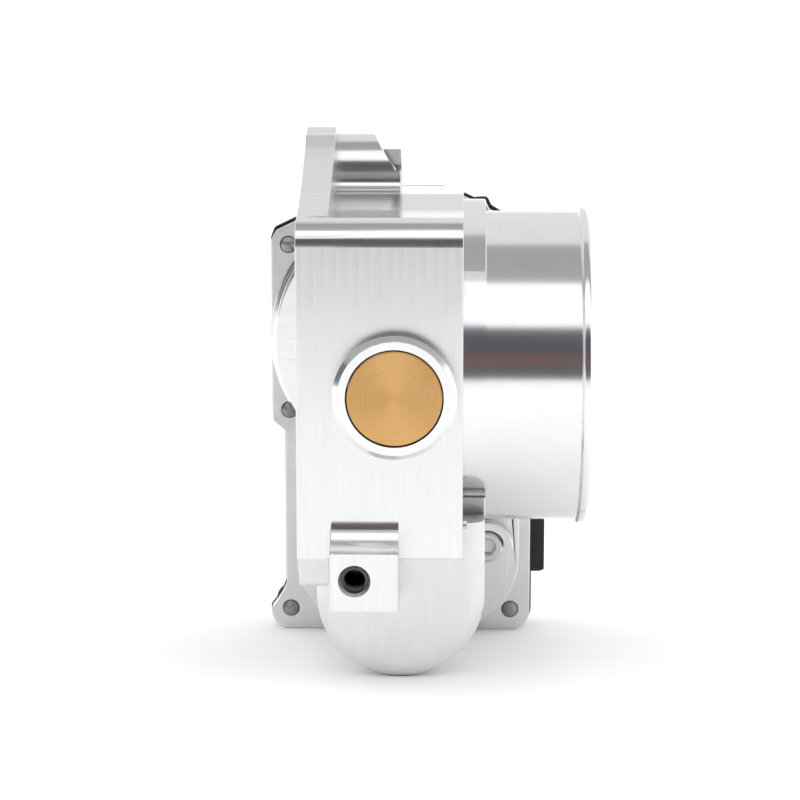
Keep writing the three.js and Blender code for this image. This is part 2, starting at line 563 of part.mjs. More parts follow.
// ---------------------------------------------------------------- gear case, gasket, cover, connector
// Outline of the case in (X, Z), grown outwards by a margin
function caseOutline(grow) {
  const left = CASE_LEFT - grow;
  const right = CASE_RIGHT + grow;
  const bottom = CASE_BOTTOM - grow;
  const waist = left + CASE_WAIST;
  const foot = left - CASE_FOOT;
  const corner = CASE_CORNER;
  const shoulder = SECTOR_TIP - 1.3;
  const top = CASE_TOP_RADIUS + grow;
  const leftEnd = Math.acos(-(SECTOR_TIP - 5.7) / top);
  const rightEnd = Math.acos((SECTOR_TIP - 8.7) / top);
  const crest = top * Math.sin(rightEnd);
  const level = Math.asin((CASE_TOP_FLAT + grow) / top);
  const shape = new THREE.Shape();
  shape.moveTo(left, -(SECTOR_TIP - 4.2));
  shape.lineTo(left, shoulder);
  shape.lineTo(left + 1, shoulder + 2 + grow);
  shape.absarc(0, 0, top, leftEnd, Math.PI - level, true);
  shape.absarc(0, 0, top, level, rightEnd, true);
  shape.lineTo(SECTOR_TIP - 5.7 + grow, crest + 0.2);
  shape.lineTo(SECTOR_TIP - 4.6 + grow, crest - 2.1);
  shape.lineTo(right, shoulder + 1.6);
  shape.lineTo(right, bottom + corner);
  shape.absarc(right - corner, bottom + corner, corner, 0, -Math.PI / 2, true);
  shape.lineTo(foot + corner, bottom);
  shape.absarc(foot + corner, bottom + corner, corner, -Math.PI / 2, -Math.PI, true);
  shape.lineTo(foot, bottom + corner + 0.5);
  shape.quadraticCurveTo(waist - 1, bottom + 9, waist, bottom + 12.8);
  shape.lineTo(waist, -(SECTOR_TIP - 1.2));
  return shape;
}

// Space behind the case flange, less a wall round it and a post at each cover screw
function casePocket(inset, y0, y1) {
  const round = rodY(CASE_TOP_RADIUS - CASE_WALL - 0.9 - inset, y0, y1, SHAFT, 24);
  const left = CASE_LEFT + CASE_WAIST + CASE_WALL + inset;
  const right = CASE_RIGHT - CASE_WALL - inset;
  const middle = box(left, right, y0, y1, MOTOR_Z - 4, 0);
  const low = rodY(MOTOR_RADIUS + 10 - inset, y0, y1, MOTOR, 28);
  const posts = COVER_SCREWS.map((at) => rodY(SCREW_RADIUS + POST_WALL + inset, y0 - CUT, y1 + CUT, at, 12));
  const upper = round.intersect(box(CASE_LEFT + CASE_WALL + inset, right, y0, y1, -DRUM_RADIUS / 2, 100));
  return cut(join(upper, middle, low), ...posts);
}

function gearCase() {
  const pastRear = CASE_REAR_Y + CUT;
  const beforeFront = CASE_FRONT_Y - CUT;
  return cut(prismY(caseOutline(0), CASE_FRONT_Y, CASE_REAR_Y, 6),
    casePocket(0, CASE_FLOOR_Y, pastRear),
    rodY(SPRING_POCKET_OUTER + 0.1, beforeFront, pastRear, SHAFT, 24),
    rodY(MOTOR_BORE_RADIUS + 0.2, beforeFront, pastRear, MOTOR, 24),
    rodY(GEAR_PIN_RADIUS + GAP, beforeFront, pastRear, IDLER, 12),
    rodY(SCREW_RADIUS + GAP, beforeFront, CASE_FLOOR_Y + 1, FRONT_CASE_SCREW, 12),
    rodY(STOP_PIN_RADIUS + GAP, beforeFront, pastRear, STOP_PIN, 12),
    ...COVER_SCREWS.map((at) => rodY(SCREW_RADIUS + GAP, beforeFront, pastRear, at, 10)),
    ...INNER_CASE_SCREWS.map((at) => rodY(SCREW_RADIUS + GAP, beforeFront, pastRear, at, 10)),
    ...MOTOR_SCREWS.map((at) => rodY(MOTOR_SCREW_RADIUS + GAP, beforeFront, pastRear, at, 12)),
  );
}

// Flat sheet gasket with the shape of the case rim
function coverGasket() {
  const y0 = CASE_REAR_Y + 0.1;
  const y1 = y0 + GASKET_THICKNESS;
  return cut(prismY(caseOutline(-0.5), y0, y1, 6), casePocket(-0.3, y0 - CUT, y1 + CUT),
    ...COVER_SCREWS.map((at) => rodY(SCREW_RADIUS + GAP, y0 - CUT, y1 + CUT, at, 12)));
}

function domeOutline(inset, y0, y1) {
  const left = DOME_LEFT + inset;
  const right = DOME_RIGHT - inset;
  const bottom = DOME_BOTTOM + inset;
  const corner = DOME_CORNER - inset;
  const shape = new THREE.Shape();
  shape.moveTo(left, 0);
  shape.lineTo(right, 0);
  shape.lineTo(right, bottom + corner);
  shape.absarc(right - corner, bottom + corner, corner, 0, -Math.PI / 2, true);
  shape.lineTo(left + corner, bottom);
  shape.absarc(left + corner, bottom + corner, corner, -Math.PI / 2, -Math.PI, true);
  return join(rodY(DOME_RADIUS - inset, y0, y1, SHAFT, 32), prismY(shape, y0, y1, 3));
}

function gearCover() {
  const flange = prismY(caseOutline(COVER_OVERHANG), COVER_FRONT_Y, COVER_SEAT_Y, 6);
  const dome = domeOutline(0, COVER_SEAT_Y - CUT, COVER_OUTER_Y);
  const hollow = domeOutline(COVER_WALL, COVER_FRONT_Y - CUT, COVER_INNER_Y);
  const pinBoss = rodY(GEAR_PIN_RADIUS + 2.4, COVER_INNER_Y - 2.4, COVER_INNER_Y + CUT, IDLER, 12);
  const shell = join(cut(join(flange, dome), hollow), pinBoss);
  return cut(shell,
    rodY(GEAR_PIN_RADIUS + GAP, COVER_INNER_Y - 4, COVER_INNER_Y, IDLER, 12),
    ...COVER_SCREWS.map((at) => rodY(SCREW_RADIUS + GAP, COVER_FRONT_Y - CUT, COVER_SEAT_Y + CUT, at, 12)),
    ...pinPlaces().map(({ y, z }) => box(DOME_RIGHT - COVER_WALL - CUT, DOME_RIGHT + CUT,
      y - PIN_HALF_THICKNESS - GAP, y + PIN_HALF_THICKNESS + GAP, z - PIN_HALF_WIDTH - GAP,
      z + PIN_HALF_WIDTH + GAP)),
  );
}

function pinPlaces() {
  const pitch = (CONNECTOR_HEIGHT - 2 * PIN_MARGIN) / (PIN_COUNT - 1);
  const first = CONNECTOR_BOTTOM + PIN_MARGIN;
  return Array.from({ length: PIN_COUNT }, (_, i) => ({
    y: CONNECTOR_Y + CONNECTOR_DEPTH / 2,
    z: first + i * pitch,
  }));
}

function roundedRectangle(u0, u1, v0, v1, corner) {
  const shape = new THREE.Shape();
  shape.moveTo(u0 + corner, v0);
  shape.absarc(u1 - corner, v0 + corner, corner, -Math.PI / 2, 0, false);
  shape.absarc(u1 - corner, v1 - corner, corner, 0, Math.PI / 2, false);
  shape.absarc(u0 + corner, v1 - corner, corner, Math.PI / 2, Math.PI, false);
  shape.absarc(u0 + corner, v0 + corner, corner, Math.PI, 1.5 * Math.PI, false);
  return shape;
}

// Open socket that faces +X, with a key rib inside and a latch bar outside
function connectorShell() {
  const y0 = CONNECTOR_Y;
  const y1 = y0 + CONNECTOR_DEPTH;
  const z0 = CONNECTOR_BOTTOM;
  const z1 = z0 + CONNECTOR_HEIGHT;
  const wall = CONNECTOR_WALL;
  const outer = prismX(roundedRectangle(y0, y1, z0, z1, 2.5), CONNECTOR_X, CONNECTOR_END_X, 3);
  const socket = prismX(roundedRectangle(y0 + wall, y1 - wall, z0 + wall, z1 - wall, 1.2),
    CONNECTOR_X + 2.2, CONNECTOR_END_X + CUT, 3);
  const rib = box(CONNECTOR_X + 1, CONNECTOR_END_X - 2, y1 - wall - 1.5, y1 - wall + 0.5,
    (z0 + z1) / 2 - 1, (z0 + z1) / 2 + 1);
  const slots = pinPlaces().map(({ y, z }) => box(CONNECTOR_X - CUT, CONNECTOR_X + 2.2 + CUT,
    y - PIN_HALF_THICKNESS - GAP, y + PIN_HALF_THICKNESS + GAP, z - PIN_HALF_WIDTH - GAP,
      z + PIN_HALF_WIDTH + GAP));
  return cut(join(cut(outer, socket), rib), ...slots);
}

// ---------------------------------------------------------------- screws and small hardware
// Screw along Y: the head is at headY and the shank runs to tipY; a six-sided key recess in the head
function screw({ at, headY, tipY, headRadius, headHeight, radius, sides = 12 }) {
  const way = Math.sign(headY - tipY);
  const top = headY + way * headHeight;
  const dome = tipY + way * 0.6;
  const body = turnedY([
    [0, tipY], [radius * 0.62, tipY], [radius, dome], [radius, headY], [headRadius, headY],
    [headRadius, top - way * 0.5], [headRadius - 0.5, top], [0, top],
  ], at, sides);
  const key = rodY(headRadius * 0.5, Math.min(top - way * headHeight * 0.5, top + way),
    Math.max(top - way * headHeight * 0.5, top + way), at, 6);
  return cut(body, key);
}

function bearing(side) {
  const inner = side * (BORE_RADIUS + SEAL_INSET + SEAL_WIDTH + 0.2 + GAP);
  const outer = inner + side * BEARING_WIDTH;
  const dip = side * 0.5;
  return turnedY([
    [SHAFT_RADIUS + GAP, inner], [6, inner], [6.4, inner + dip], [9.3, inner + dip], [9.7, inner],
    [BEARING_RADIUS, inner], [BEARING_RADIUS, outer], [9.7, outer], [9.3, outer - dip],
    [6.4, outer - dip], [6, outer], [SHAFT_RADIUS + GAP, outer], [SHAFT_RADIUS + GAP, inner],
  ], SHAFT, 20);
}

function shaftSeal(side) {
  const near = side * (BORE_RADIUS + SEAL_INSET + 0.2);
  const far = near + side * (SEAL_WIDTH - 0.1);
  return ringY(SHAFT_RADIUS + GAP, SEAL_RADIUS, Math.min(near, far), Math.max(near, far), SHAFT, 20);
}

function circlip() {
  const y0 = BORE_RADIUS + SEAL_INSET + SEAL_WIDTH + BEARING_WIDTH + 0.8;
  const ring = ringY(8.6, BEARING_RADIUS, y0, y0 + 1.1, SHAFT, 20);
  return cut(ring, box(-1.6, 1.6, y0 - CUT, y0 + 2, 0, BEARING_RADIUS + CUT));
}

function endPlug() {
  return turnedY([
    [0, BOSS_FACE_Y + PLUG_THICKNESS], [BEARING_RADIUS, BOSS_FACE_Y + PLUG_THICKNESS],
    [BEARING_RADIUS, BOSS_FACE_Y + 0.4], [BEARING_RADIUS - 0.35, BOSS_FACE_Y + 0.05],
    [0, BOSS_FACE_Y + 0.05],
  ], SHAFT, 32);
}

function flangeORing() {
  const torus = new THREE.TorusGeometry(BORE_RADIUS + O_RING_CLEARANCE, O_RING_SECTION, 6, 40);
  return solid(torus.rotateY(Math.PI / 2).translate(FLANGE_FACE_X + O_RING_SECTION + 0.25, 0, 0));
}

// ---------------------------------------------------------------- throttle shaft and plate
// The shaft, plate and plate screws are drawn with the plate square to the bore; their group turns
// them to rest
const PLATE_SCREW_Y = [-14, 14];
const SHAFT_END_Y = LARGE_GEAR_Y + LARGE_GEAR_WIDTH - 1.6;

function throttleShaft() {
  const front = BORE_RADIUS + SEAL_INSET + SEAL_WIDTH + BEARING_WIDTH - 0.4;
  const bar = rodY(SHAFT_RADIUS, -front, SHAFT_END_Y, SHAFT, 28);
  const halfSlot = PLATE_THICKNESS / 2 + GAP;
  const slotEnd = BORE_RADIUS - PLATE_CLEARANCE + GAP;
  const slot = box(-halfSlot, halfSlot, -slotEnd, slotEnd, -SHAFT_RADIUS - CUT, SHAFT_RADIUS + CUT);
  const seats = PLATE_SCREW_Y.map((y) => box(PLATE_SEAT_X, SHAFT_RADIUS + CUT, y - PLATE_SEAT_HALF,
    y + PLATE_SEAT_HALF, -5, 5));
  const holes = PLATE_SCREW_Y.map((y) => rodX(PLATE_SCREW_RADIUS + GAP, -5, 5, y, 0, 12));
  return cut(bar, slot, ...seats, ...holes);
}

function throttlePlate() {
  const disc = rodX(BORE_RADIUS - PLATE_CLEARANCE, -PLATE_THICKNESS / 2, PLATE_THICKNESS / 2, 0, 0, 48);
  const holes = PLATE_SCREW_Y.map((y) => rodX(PLATE_SCREW_RADIUS + GAP, -5, 5, y, 0, 12));
  return cut(disc, ...holes);
}

function plateScrew(y) {
  const seat = PLATE_SEAT_X + GAP;
  const radius = PLATE_SCREW_RADIUS;
  const profile = [[0, -3.9], [radius, -3.9], [radius, seat], [3, seat], [2.4, seat + 1.7], [0, seat + 1.7]];
  return cut(turnedX(profile, 12, y), rodX(1.3, seat + 0.7, seat + 3, y, 0, 6));
}

// ---------------------------------------------------------------- gears
// Tooth corners, root to tip to root, for one tooth centred on an angle in radians
function tooth(teeth, angle, centre) {
  const pitchRadius = (GEAR_MODULE * teeth) / 2;
  const addendum = 0.9 * GEAR_MODULE;
  const dedendum = 1.2 * GEAR_MODULE;
  const slope = Math.tan(THREE.MathUtils.degToRad(20));
  const half = (Math.PI * GEAR_MODULE) / 4 - BACKLASH / 2;
  const tip = pitchRadius + addendum;
  const root = pitchRadius - dedendum;
  const tipHalf = (half - addendum * slope) / tip;
  const rootHalf = Math.min((half + dedendum * slope) / root, (Math.PI / teeth) * 0.92);
  const corner = (radius, at) => [centre.x + radius * Math.cos(at), centre.z + radius * Math.sin(at)];
  return [corner(root, angle - rootHalf), corner(tip, angle - tipHalf), corner(tip, angle + tipHalf),
    corner(root, angle + rootHalf)];
}

function toothPoints(teeth, firstTooth, centre, count = teeth) {
  const pitch = (2 * Math.PI) / teeth;
  return Array.from({ length: count }, (_, i) => tooth(teeth, firstTooth + i * pitch, centre)).flat();
}

function gearY(teeth, firstTooth, y0, y1, centre) {
  return prismY(polygon(toothPoints(teeth, firstTooth, centre)), y0, y1);
}

const TO_IDLER = Math.atan2(IDLER.z, IDLER.x);
const TO_MOTOR = Math.atan2(MOTOR_Z - IDLER.z, MOTOR_X - IDLER.x);
const SECTOR_PITCH = (2 * Math.PI) / SECTOR_TEETH;
const SECTOR_BEFORE = 4; // teeth kept on the closing side of the one in mesh at rest
const SECTOR_AFTER = 17; // teeth kept on the opening side
const SECTOR_START = TO_IDLER - SECTOR_BEFORE * SECTOR_PITCH;
const SECTOR_END = TO_IDLER + SECTOR_AFTER * SECTOR_PITCH;

// Stop lug on the sector, and the dowel it comes up to when the throttle is shut
const STOP_PIN_RADIUS = 1.2;
const STOP_RADIUS = SPRING_POCKET_OUTER + 2.1;
const LUG_END = SECTOR_END + 0.6 * SECTOR_PITCH;
const STOP_ANGLE = THREE.MathUtils.radToDeg(LUG_END + (STOP_PIN_RADIUS + GAP) / STOP_RADIUS) + REST_ANGLE;
const STOP_PIN = polar(SHAFT, STOP_RADIUS, STOP_ANGLE);

function fan(radius, from, to, steps) {
  const points = [[0, 0]];
  for (let i = 0; i <= steps; i += 1) {
    const angle = from + ((to - from) * i) / steps;
    points.push([radius * Math.cos(angle), radius * Math.sin(angle)]);
  }
  return polygon(points);
}

function sectorGear() {
  const count = SECTOR_BEFORE + SECTOR_AFTER + 1;
  const teeth = polygon([[0, 0], ...toothPoints(SECTOR_TEETH, SECTOR_START, SHAFT, count)]);
  const hubY = [CASE_FLOOR_Y + 0.4, SECTOR_Y + SECTOR_WIDTH + 1];
  const web = prismY(teeth, SECTOR_Y, SECTOR_Y + SECTOR_WIDTH);
  const hub = rodY(SECTOR_HUB_RADIUS, ...hubY, SHAFT, 32);
  const lugRoot = prismY(fan(SECTOR_TIP - 1, LUG_END - STOP_LUG_ANGLE, LUG_END, 3), hubY[0], SECTOR_Y + CUT);
  const lugTip = prismY(fan(STOP_RADIUS + 0.8, LUG_END - STOP_LUG_ANGLE, LUG_END, 3), hubY[0], SECTOR_Y - 0.8);
  const window = prismY(fan(SECTOR_TIP - 6, TO_IDLER + 0.25, SECTOR_END - 0.3, 8), hubY[0], hubY[1] + CUT);
  const lightening = cut(window, rodY(14, 0, hubY[1] + 2 * CUT, SHAFT, 32));
  return cut(join(web, hub, lugRoot, lugTip), lightening, rodY(SHAFT_RADIUS + GAP, 0, hubY[1] + CUT, SHAFT, 20));
}

function intermediateGear() {
  const small = gearY(SMALL_TEETH, TO_IDLER + Math.PI + Math.PI / SMALL_TEETH, SECTOR_Y - 0.3,
    LARGE_GEAR_Y + 0.5, IDLER);
  const large = gearY(LARGE_TEETH, TO_MOTOR, LARGE_GEAR_Y, LARGE_GEAR_Y + LARGE_GEAR_WIDTH, IDLER);
  const hub = rodY(GEAR_HUB_RADIUS, LARGE_GEAR_Y, LARGE_GEAR_Y + LARGE_GEAR_WIDTH + 0.9, IDLER, 20);
  const recess = ringY(7, LARGE_TIP - 4, LARGE_GEAR_Y + 3.2, LARGE_GEAR_Y + LARGE_GEAR_WIDTH + CUT, IDLER, 20);
  return cut(join(small, large, hub), recess, rodY(GEAR_PIN_RADIUS + GAP, 0, 100, IDLER, 12));
}

function motorPinion() {
  const y0 = LARGE_GEAR_Y - 0.6;
  const wheel = gearY(PINION_TEETH, TO_MOTOR + Math.PI + Math.PI / PINION_TEETH, y0,
    LARGE_GEAR_Y + LARGE_GEAR_WIDTH + 0.6, MOTOR);
  return cut(wheel, rodY(MOTOR_SHAFT_RADIUS + GAP, 0, 100, MOTOR, 12));
}

function hexNut() {
  const y0 = SECTOR_Y + SECTOR_WIDTH + 1 + GAP;
  return cut(rodY(6.5, y0, y0 + 4, SHAFT, 6), rodY(SHAFT_RADIUS + GAP, 0, 100, SHAFT, 20));
}

function positionMagnet() {
  const y0 = SHAFT_END_Y + GAP;
  return ringY(1.5, 5, y0, y0 + 1.8, SHAFT, 20);
}

class Helix extends THREE.Curve {
  constructor(radius, y0, y1, turns) {
    super();
    Object.assign(this, { radius, y0, y1, turns });
  }

  getPoint(t, target = new THREE.Vector3()) {
    const angle = 2 * Math.PI * this.turns * t;
    const y = this.y0 + (this.y1 - this.y0) * t;
    return target.set(this.radius * Math.cos(angle), y, this.radius * Math.sin(angle));
  }
}

function returnSpring() {
  const wire = 0.85;
  const radius = (SPRING_POCKET_INNER + SPRING_POCKET_OUTER) / 2;
  const y0 = BORE_RADIUS + 4 + wire + GAP;
  const y1 = REAR_FACE_Y - wire - GAP;
  const section = polygon(Array.from({ length: 6 }, (_, i) => {
    const angle = (i * Math.PI) / 3;
    return [wire * Math.cos(angle), wire * Math.sin(angle)];
  }));
  const path = new Helix(radius, y0, y1, 2.6);
  return solid(new THREE.ExtrudeGeometry(section, { steps: 48, bevelEnabled: false, extrudePath: path }));
}

// ---------------------------------------------------------------- motor
const CAN_FRONT_Y = BARREL_FRONT_Y + BARREL_END_WALL + WASHER_SPACE;
const CAN_REAR_Y = CASE_FLOOR_Y;
const MOTOR_FLANGE_Y = CASE_FLOOR_Y + GAP;
const ARMATURE_Y = CAN_FRONT_Y + 15;

function motorCan() {
  const inner = MOTOR_RADIUS - CAN_WALL;
  return turnedY([
    [MOTOR_SHAFT_RADIUS + CAN_MOUTH, CAN_FRONT_Y], [MOTOR_RADIUS - 1.5, CAN_FRONT_Y],
    [MOTOR_RADIUS, CAN_FRONT_Y + 1.5], [MOTOR_RADIUS, CAN_REAR_Y], [inner, CAN_REAR_Y],
    [inner, CAN_FRONT_Y + 2], [MOTOR_SHAFT_RADIUS + CAN_MOUTH, CAN_FRONT_Y + 2],
    [MOTOR_SHAFT_RADIUS + CAN_MOUTH, CAN_FRONT_Y],
  ], MOTOR, 28);
}

function motorBush(y0) {
  return ringY(MOTOR_SHAFT_RADIUS + GAP, MOTOR_SHAFT_RADIUS + 2.3, y0, y0 + 2.4, MOTOR, 16);
}

function motorFlange() {
  const y1 = MOTOR_FLANGE_Y + 1.6;
  const ears = MOTOR_SCREWS.map((at) => rodY(3.4, MOTOR_FLANGE_Y, y1, at, 14));
  const disc = rodY(MOTOR_RADIUS + 2, MOTOR_FLANGE_Y, y1, MOTOR, 28);
  const holes = MOTOR_SCREWS.map((at) => rodY(MOTOR_SCREW_RADIUS + GAP, MOTOR_FLANGE_Y - CUT, y1 + CUT, at, 12));
  const slots = motorTerminalPlaces().map((at) => box(at.x - 2.3, at.x + 2.3, MOTOR_FLANGE_Y - CUT, y1 + CUT,
    at.z - 0.7, at.z + 0.7));
  return cut(join(disc, ...ears), ...holes, ...slots,
    rodY(MOTOR_SHAFT_RADIUS + CAN_MOUTH, MOTOR_FLANGE_Y - CUT, y1 + CUT, MOTOR, 16));
}

function motorTerminalPlaces() {
  return [-5, 5].map((x) => ({ x: MOTOR_X + x, z: MOTOR_Z - MOTOR_RADIUS + 4.2 }));
}

function motorTerminal(at) {
  return box(at.x - 2, at.x + 2, MOTOR_FLANGE_Y - 3, MOTOR_FLANGE_Y + 9, at.z - 0.4, at.z + 0.4);
}

// Curved ferrite segment on one side of the can
function motorMagnet(side) {
  const outer = MOTOR_RADIUS - CAN_WALL - GAP;
  const ring = ringY(ARMATURE_RADIUS + 0.8, outer, ARMATURE_Y - 3, ARMATURE_Y + ARMATURE_LENGTH + 3, MOTOR, 28);
  const x0 = side > 0 ? MOTOR_X + 3 : MOTOR_X - 20;
  return ring.intersect(box(x0, x0 + 17, -100, 100, MOTOR_Z - 20, MOTOR_Z + 20));
}

function armatureCore() {
  const slots = 7;
  const bar = rodY(ARMATURE_RADIUS, ARMATURE_Y, ARMATURE_Y + ARMATURE_LENGTH, MOTOR, 28);
  const grooves = Array.from({ length: slots }, (_, i) => {
    const at = polar(MOTOR, ARMATURE_RADIUS - 1, (360 / slots) * i);
    return rodY(1.5, ARMATURE_Y - CUT, ARMATURE_Y + ARMATURE_LENGTH + CUT, at, 8);
  });
  return cut(bar, ...grooves, rodY(MOTOR_SHAFT_RADIUS + GAP, -100, 100, MOTOR, 12));
}

function commutator() {
  const y0 = ARMATURE_Y + ARMATURE_LENGTH + 3;
  return ringY(MOTOR_SHAFT_RADIUS + GAP, 4.6, y0, y0 + 8, MOTOR, 20);
}

function waveWasher() {
  const waves = 3;
  const steps = 24;
  const ring = new THREE.Shape();
  ring.absarc(0, 0, MOTOR_RADIUS - 1.8, 0, 2 * Math.PI, false);
  const hole = new THREE.Path();
  hole.absarc(0, 0, MOTOR_RADIUS - 5, 0, 2 * Math.PI, true);
  ring.holes.push(hole);
  const geometry = extruded(ring, 0.5, steps / 2);
  const place = geometry.attributes.position;
  for (let i = 0; i < place.count; i += 1) {
    const [u, v, w] = [place.getX(i), place.getY(i), place.getZ(i)];
    const lift = 0.8 * Math.cos(waves * Math.atan2(v, u));
    const y = CAN_FRONT_Y - WASHER_SPACE / 2 - w + lift;
    place.setXYZ(i, MOTOR_X + u, y, MOTOR_Z + v);
  }
  return solid(geometry);
}

// ---------------------------------------------------------------- sensor
function sensorBoard() {
  const y0 = COVER_INNER_Y - 1.9;
  return box(-15, 15, y0, y0 + 1.5, -15, 12);
}

function sensorChip() {
  const y1 = COVER_INNER_Y - 1.9 - 0.1;
  return box(-3, 3, y1 - 0.8, y1, -2.5, 2.5);
}

// ---------------------------------------------------------------- assembly
const assembly = new THREE.Group();
const add = (name, body, finish) => assembly.add(mesh(name, body, finish));
const turned = new THREE.Group();
turned.rotation.y = THREE.MathUtils.degToRad(REST_ANGLE);
assembly.add(turned);

add('throttle_housing', housing(), 'machinedAluminium');
add('gear_case', gearCase(), 'castAluminium');
add('cover_gasket', coverGasket(), 'blackRubber');
add('gear_cover', gearCover(), 'blackPlastic');
add('connector_shell', connectorShell(), 'blackPlastic');
pinPlaces().forEach(({ y, z }, i) => {
  const pin = box(MOTOR_X + 12.5, CONNECTOR_END_X - 4, y - PIN_HALF_THICKNESS, y + PIN_HALF_THICKNESS,
    z - PIN_HALF_WIDTH, z + PIN_HALF_WIDTH);
  add(`terminal_pin_${i + 1}`, pin, 'brassPlate');
});
COVER_SCREWS.forEach((at, i) => {
  const size = { headY: COVER_SEAT_Y + 0.1, tipY: CASE_FRONT_Y - 1.4, headRadius: 3.6, headHeight: 2.8 };
  add(`cover_screw_${i + 1}`, screw({ at, ...size, radius: SCREW_RADIUS }), 'steel');
});
const frontScrew = { headY: DRUM_FRONT_Y + 4.5, tipY: CASE_FLOOR_Y + 0.6, headRadius: FRONT_SCREW_HEAD_RADIUS,
  headHeight: 4 };
add('case_screw_1', screw({ at: FRONT_CASE_SCREW, ...frontScrew, radius: SCREW_RADIUS }), 'steel');
INNER_CASE_SCREWS.forEach((at, i) => {
  const size = { headY: CASE_FLOOR_Y + GAP, tipY: REAR_FACE_Y - 6, headRadius: 3.2, headHeight: 2.2 };
  add(`case_screw_${i + 2}`, screw({ at, ...size, radius: SCREW_RADIUS, sides: 10 }), 'steel');
});
add('front_bearing', bearing(-1), 'steel');
add('rear_bearing', bearing(1), 'steel');
add('front_shaft_seal', shaftSeal(-1), 'blackRubber');
add('rear_shaft_seal', shaftSeal(1), 'blackRubber');
add('bearing_circlip', circlip(), 'springSteel');
add('end_plug', endPlug(), 'bronze');
add('flange_o_ring', flangeORing(), 'blackRubber');

turned.add(mesh('throttle_shaft', throttleShaft(), 'steel'));
turned.add(mesh('throttle_plate', throttlePlate(), 'brassPlate'));
PLATE_SCREW_Y.forEach((y, i) => turned.add(mesh(`plate_screw_${i + 1}`, plateScrew(y), 'steel')));
const bushY = BORE_RADIUS + SEAL_INSET + SEAL_WIDTH + BEARING_WIDTH + 2.3;
add('spring_bush', ringY(SHAFT_RADIUS + GAP, 8, bushY, CASE_FLOOR_Y + 0.1, SHAFT, 20), 'naturalPlastic');
add('sector_gear', sectorGear(), 'naturalPlastic');
add('gear_nut', hexNut(), 'steel');
add('position_magnet', positionMagnet(), 'magnet');
add('stop_pin', rodY(STOP_PIN_RADIUS, CASE_FRONT_Y + 0.2, CASE_FLOOR_Y + 2.7, STOP_PIN, 12), 'steel');
add('return_spring', returnSpring(), 'springSteel');

add('intermediate_gear', intermediateGear(), 'naturalPlastic');
add('intermediate_pin', rodY(GEAR_PIN_RADIUS, REAR_FACE_Y - 3.7, COVER_INNER_Y - 0.4, IDLER, 16), 'steel');

add('motor_can', motorCan(), 'steel');
add('motor_flange', motorFlange(), 'steel');
add('front_motor_bush', motorBush(CAN_FRONT_Y), 'bronze');
add('rear_motor_bush', motorBush(MOTOR_FLANGE_Y - 0.6), 'bronze');
add('motor_magnet_1', motorMagnet(-1), 'magnet');
add('motor_magnet_2', motorMagnet(1), 'magnet');
add('armature_core', armatureCore(), 'copper');
add('commutator', commutator(), 'copper');
const pinionEnd = LARGE_GEAR_Y + LARGE_GEAR_WIDTH + 1;
add('motor_shaft', rodY(MOTOR_SHAFT_RADIUS, CAN_FRONT_Y + 0.4, pinionEnd, MOTOR, 16), 'steel');
add('motor_pinion', motorPinion(), 'brassPlate');
add('motor_wave_washer', waveWasher(), 'springSteel');
MOTOR_SCREWS.forEach((at, i) => {
  const size = { headY: MOTOR_FLANGE_Y + 1.9, tipY: REAR_FACE_Y - 3.6, headRadius: 2.7, headHeight: 1.8 };
  add(`motor_screw_${i + 1}`, screw({ at, ...size, radius: MOTOR_SCREW_RADIUS, sides: 10 }), 'steel');
});
motorTerminalPlaces().forEach((at, i) => add(`motor_terminal_${i + 1}`, motorTerminal(at), 'copper'));
add('sensor_board', sensorBoard(), 'circuitBoard');
add('sensor_chip', sensorChip(), 'blackPlastic');

// Stand the part on the middle of its base: the cover flange reaches lowest and furthest to the left
const lowest = CASE_BOTTOM - COVER_OVERHANG;
const leftmost = CASE_LEFT - COVER_OVERHANG - CASE_FOOT;
assembly.position.set(-(leftmost + SPIGOT_END_X) / 2, -(LUG_FACE_Y + COVER_OUTER_Y) / 2, -lowest);

export default assembly;
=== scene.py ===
"""Looks of the drive-by-wire throttle body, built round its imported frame.

Every class works in millimetres from the point where the bore and the shaft cross: +X along the
bore to the hose spigot, +Y along the shaft to the gears, +Z up. Part.place() moves the finished
mesh into the frame, in metres.
"""

import json
import logging
import math
from dataclasses import dataclass
from enum import Enum
from typing import Callable, Sequence

import bmesh
import bpy
from mathutils import Matrix, Vector


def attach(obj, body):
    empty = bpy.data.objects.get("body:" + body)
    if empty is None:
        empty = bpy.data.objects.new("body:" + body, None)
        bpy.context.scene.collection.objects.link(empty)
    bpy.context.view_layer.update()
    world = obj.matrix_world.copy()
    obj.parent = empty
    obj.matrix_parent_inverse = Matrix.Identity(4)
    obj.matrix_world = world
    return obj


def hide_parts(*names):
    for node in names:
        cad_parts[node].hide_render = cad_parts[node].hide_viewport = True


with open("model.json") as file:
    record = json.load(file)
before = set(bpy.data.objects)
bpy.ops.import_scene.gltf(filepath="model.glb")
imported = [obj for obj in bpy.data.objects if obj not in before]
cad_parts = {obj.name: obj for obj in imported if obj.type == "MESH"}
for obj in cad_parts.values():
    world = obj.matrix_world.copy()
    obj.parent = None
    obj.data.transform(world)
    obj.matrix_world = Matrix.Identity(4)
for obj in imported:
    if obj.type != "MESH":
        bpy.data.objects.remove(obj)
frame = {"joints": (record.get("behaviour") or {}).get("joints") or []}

LOG = logging.getLogger("throttle_body")
MM = 0.001
CROSSING = Vector(next(j for j in frame["joints"] if j["name"] == "throttle_turn")["pos_m"])
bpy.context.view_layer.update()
SHARP_ANGLE = math.radians(26)

Point = tuple[float, float]
Corner = tuple[float, float, float]


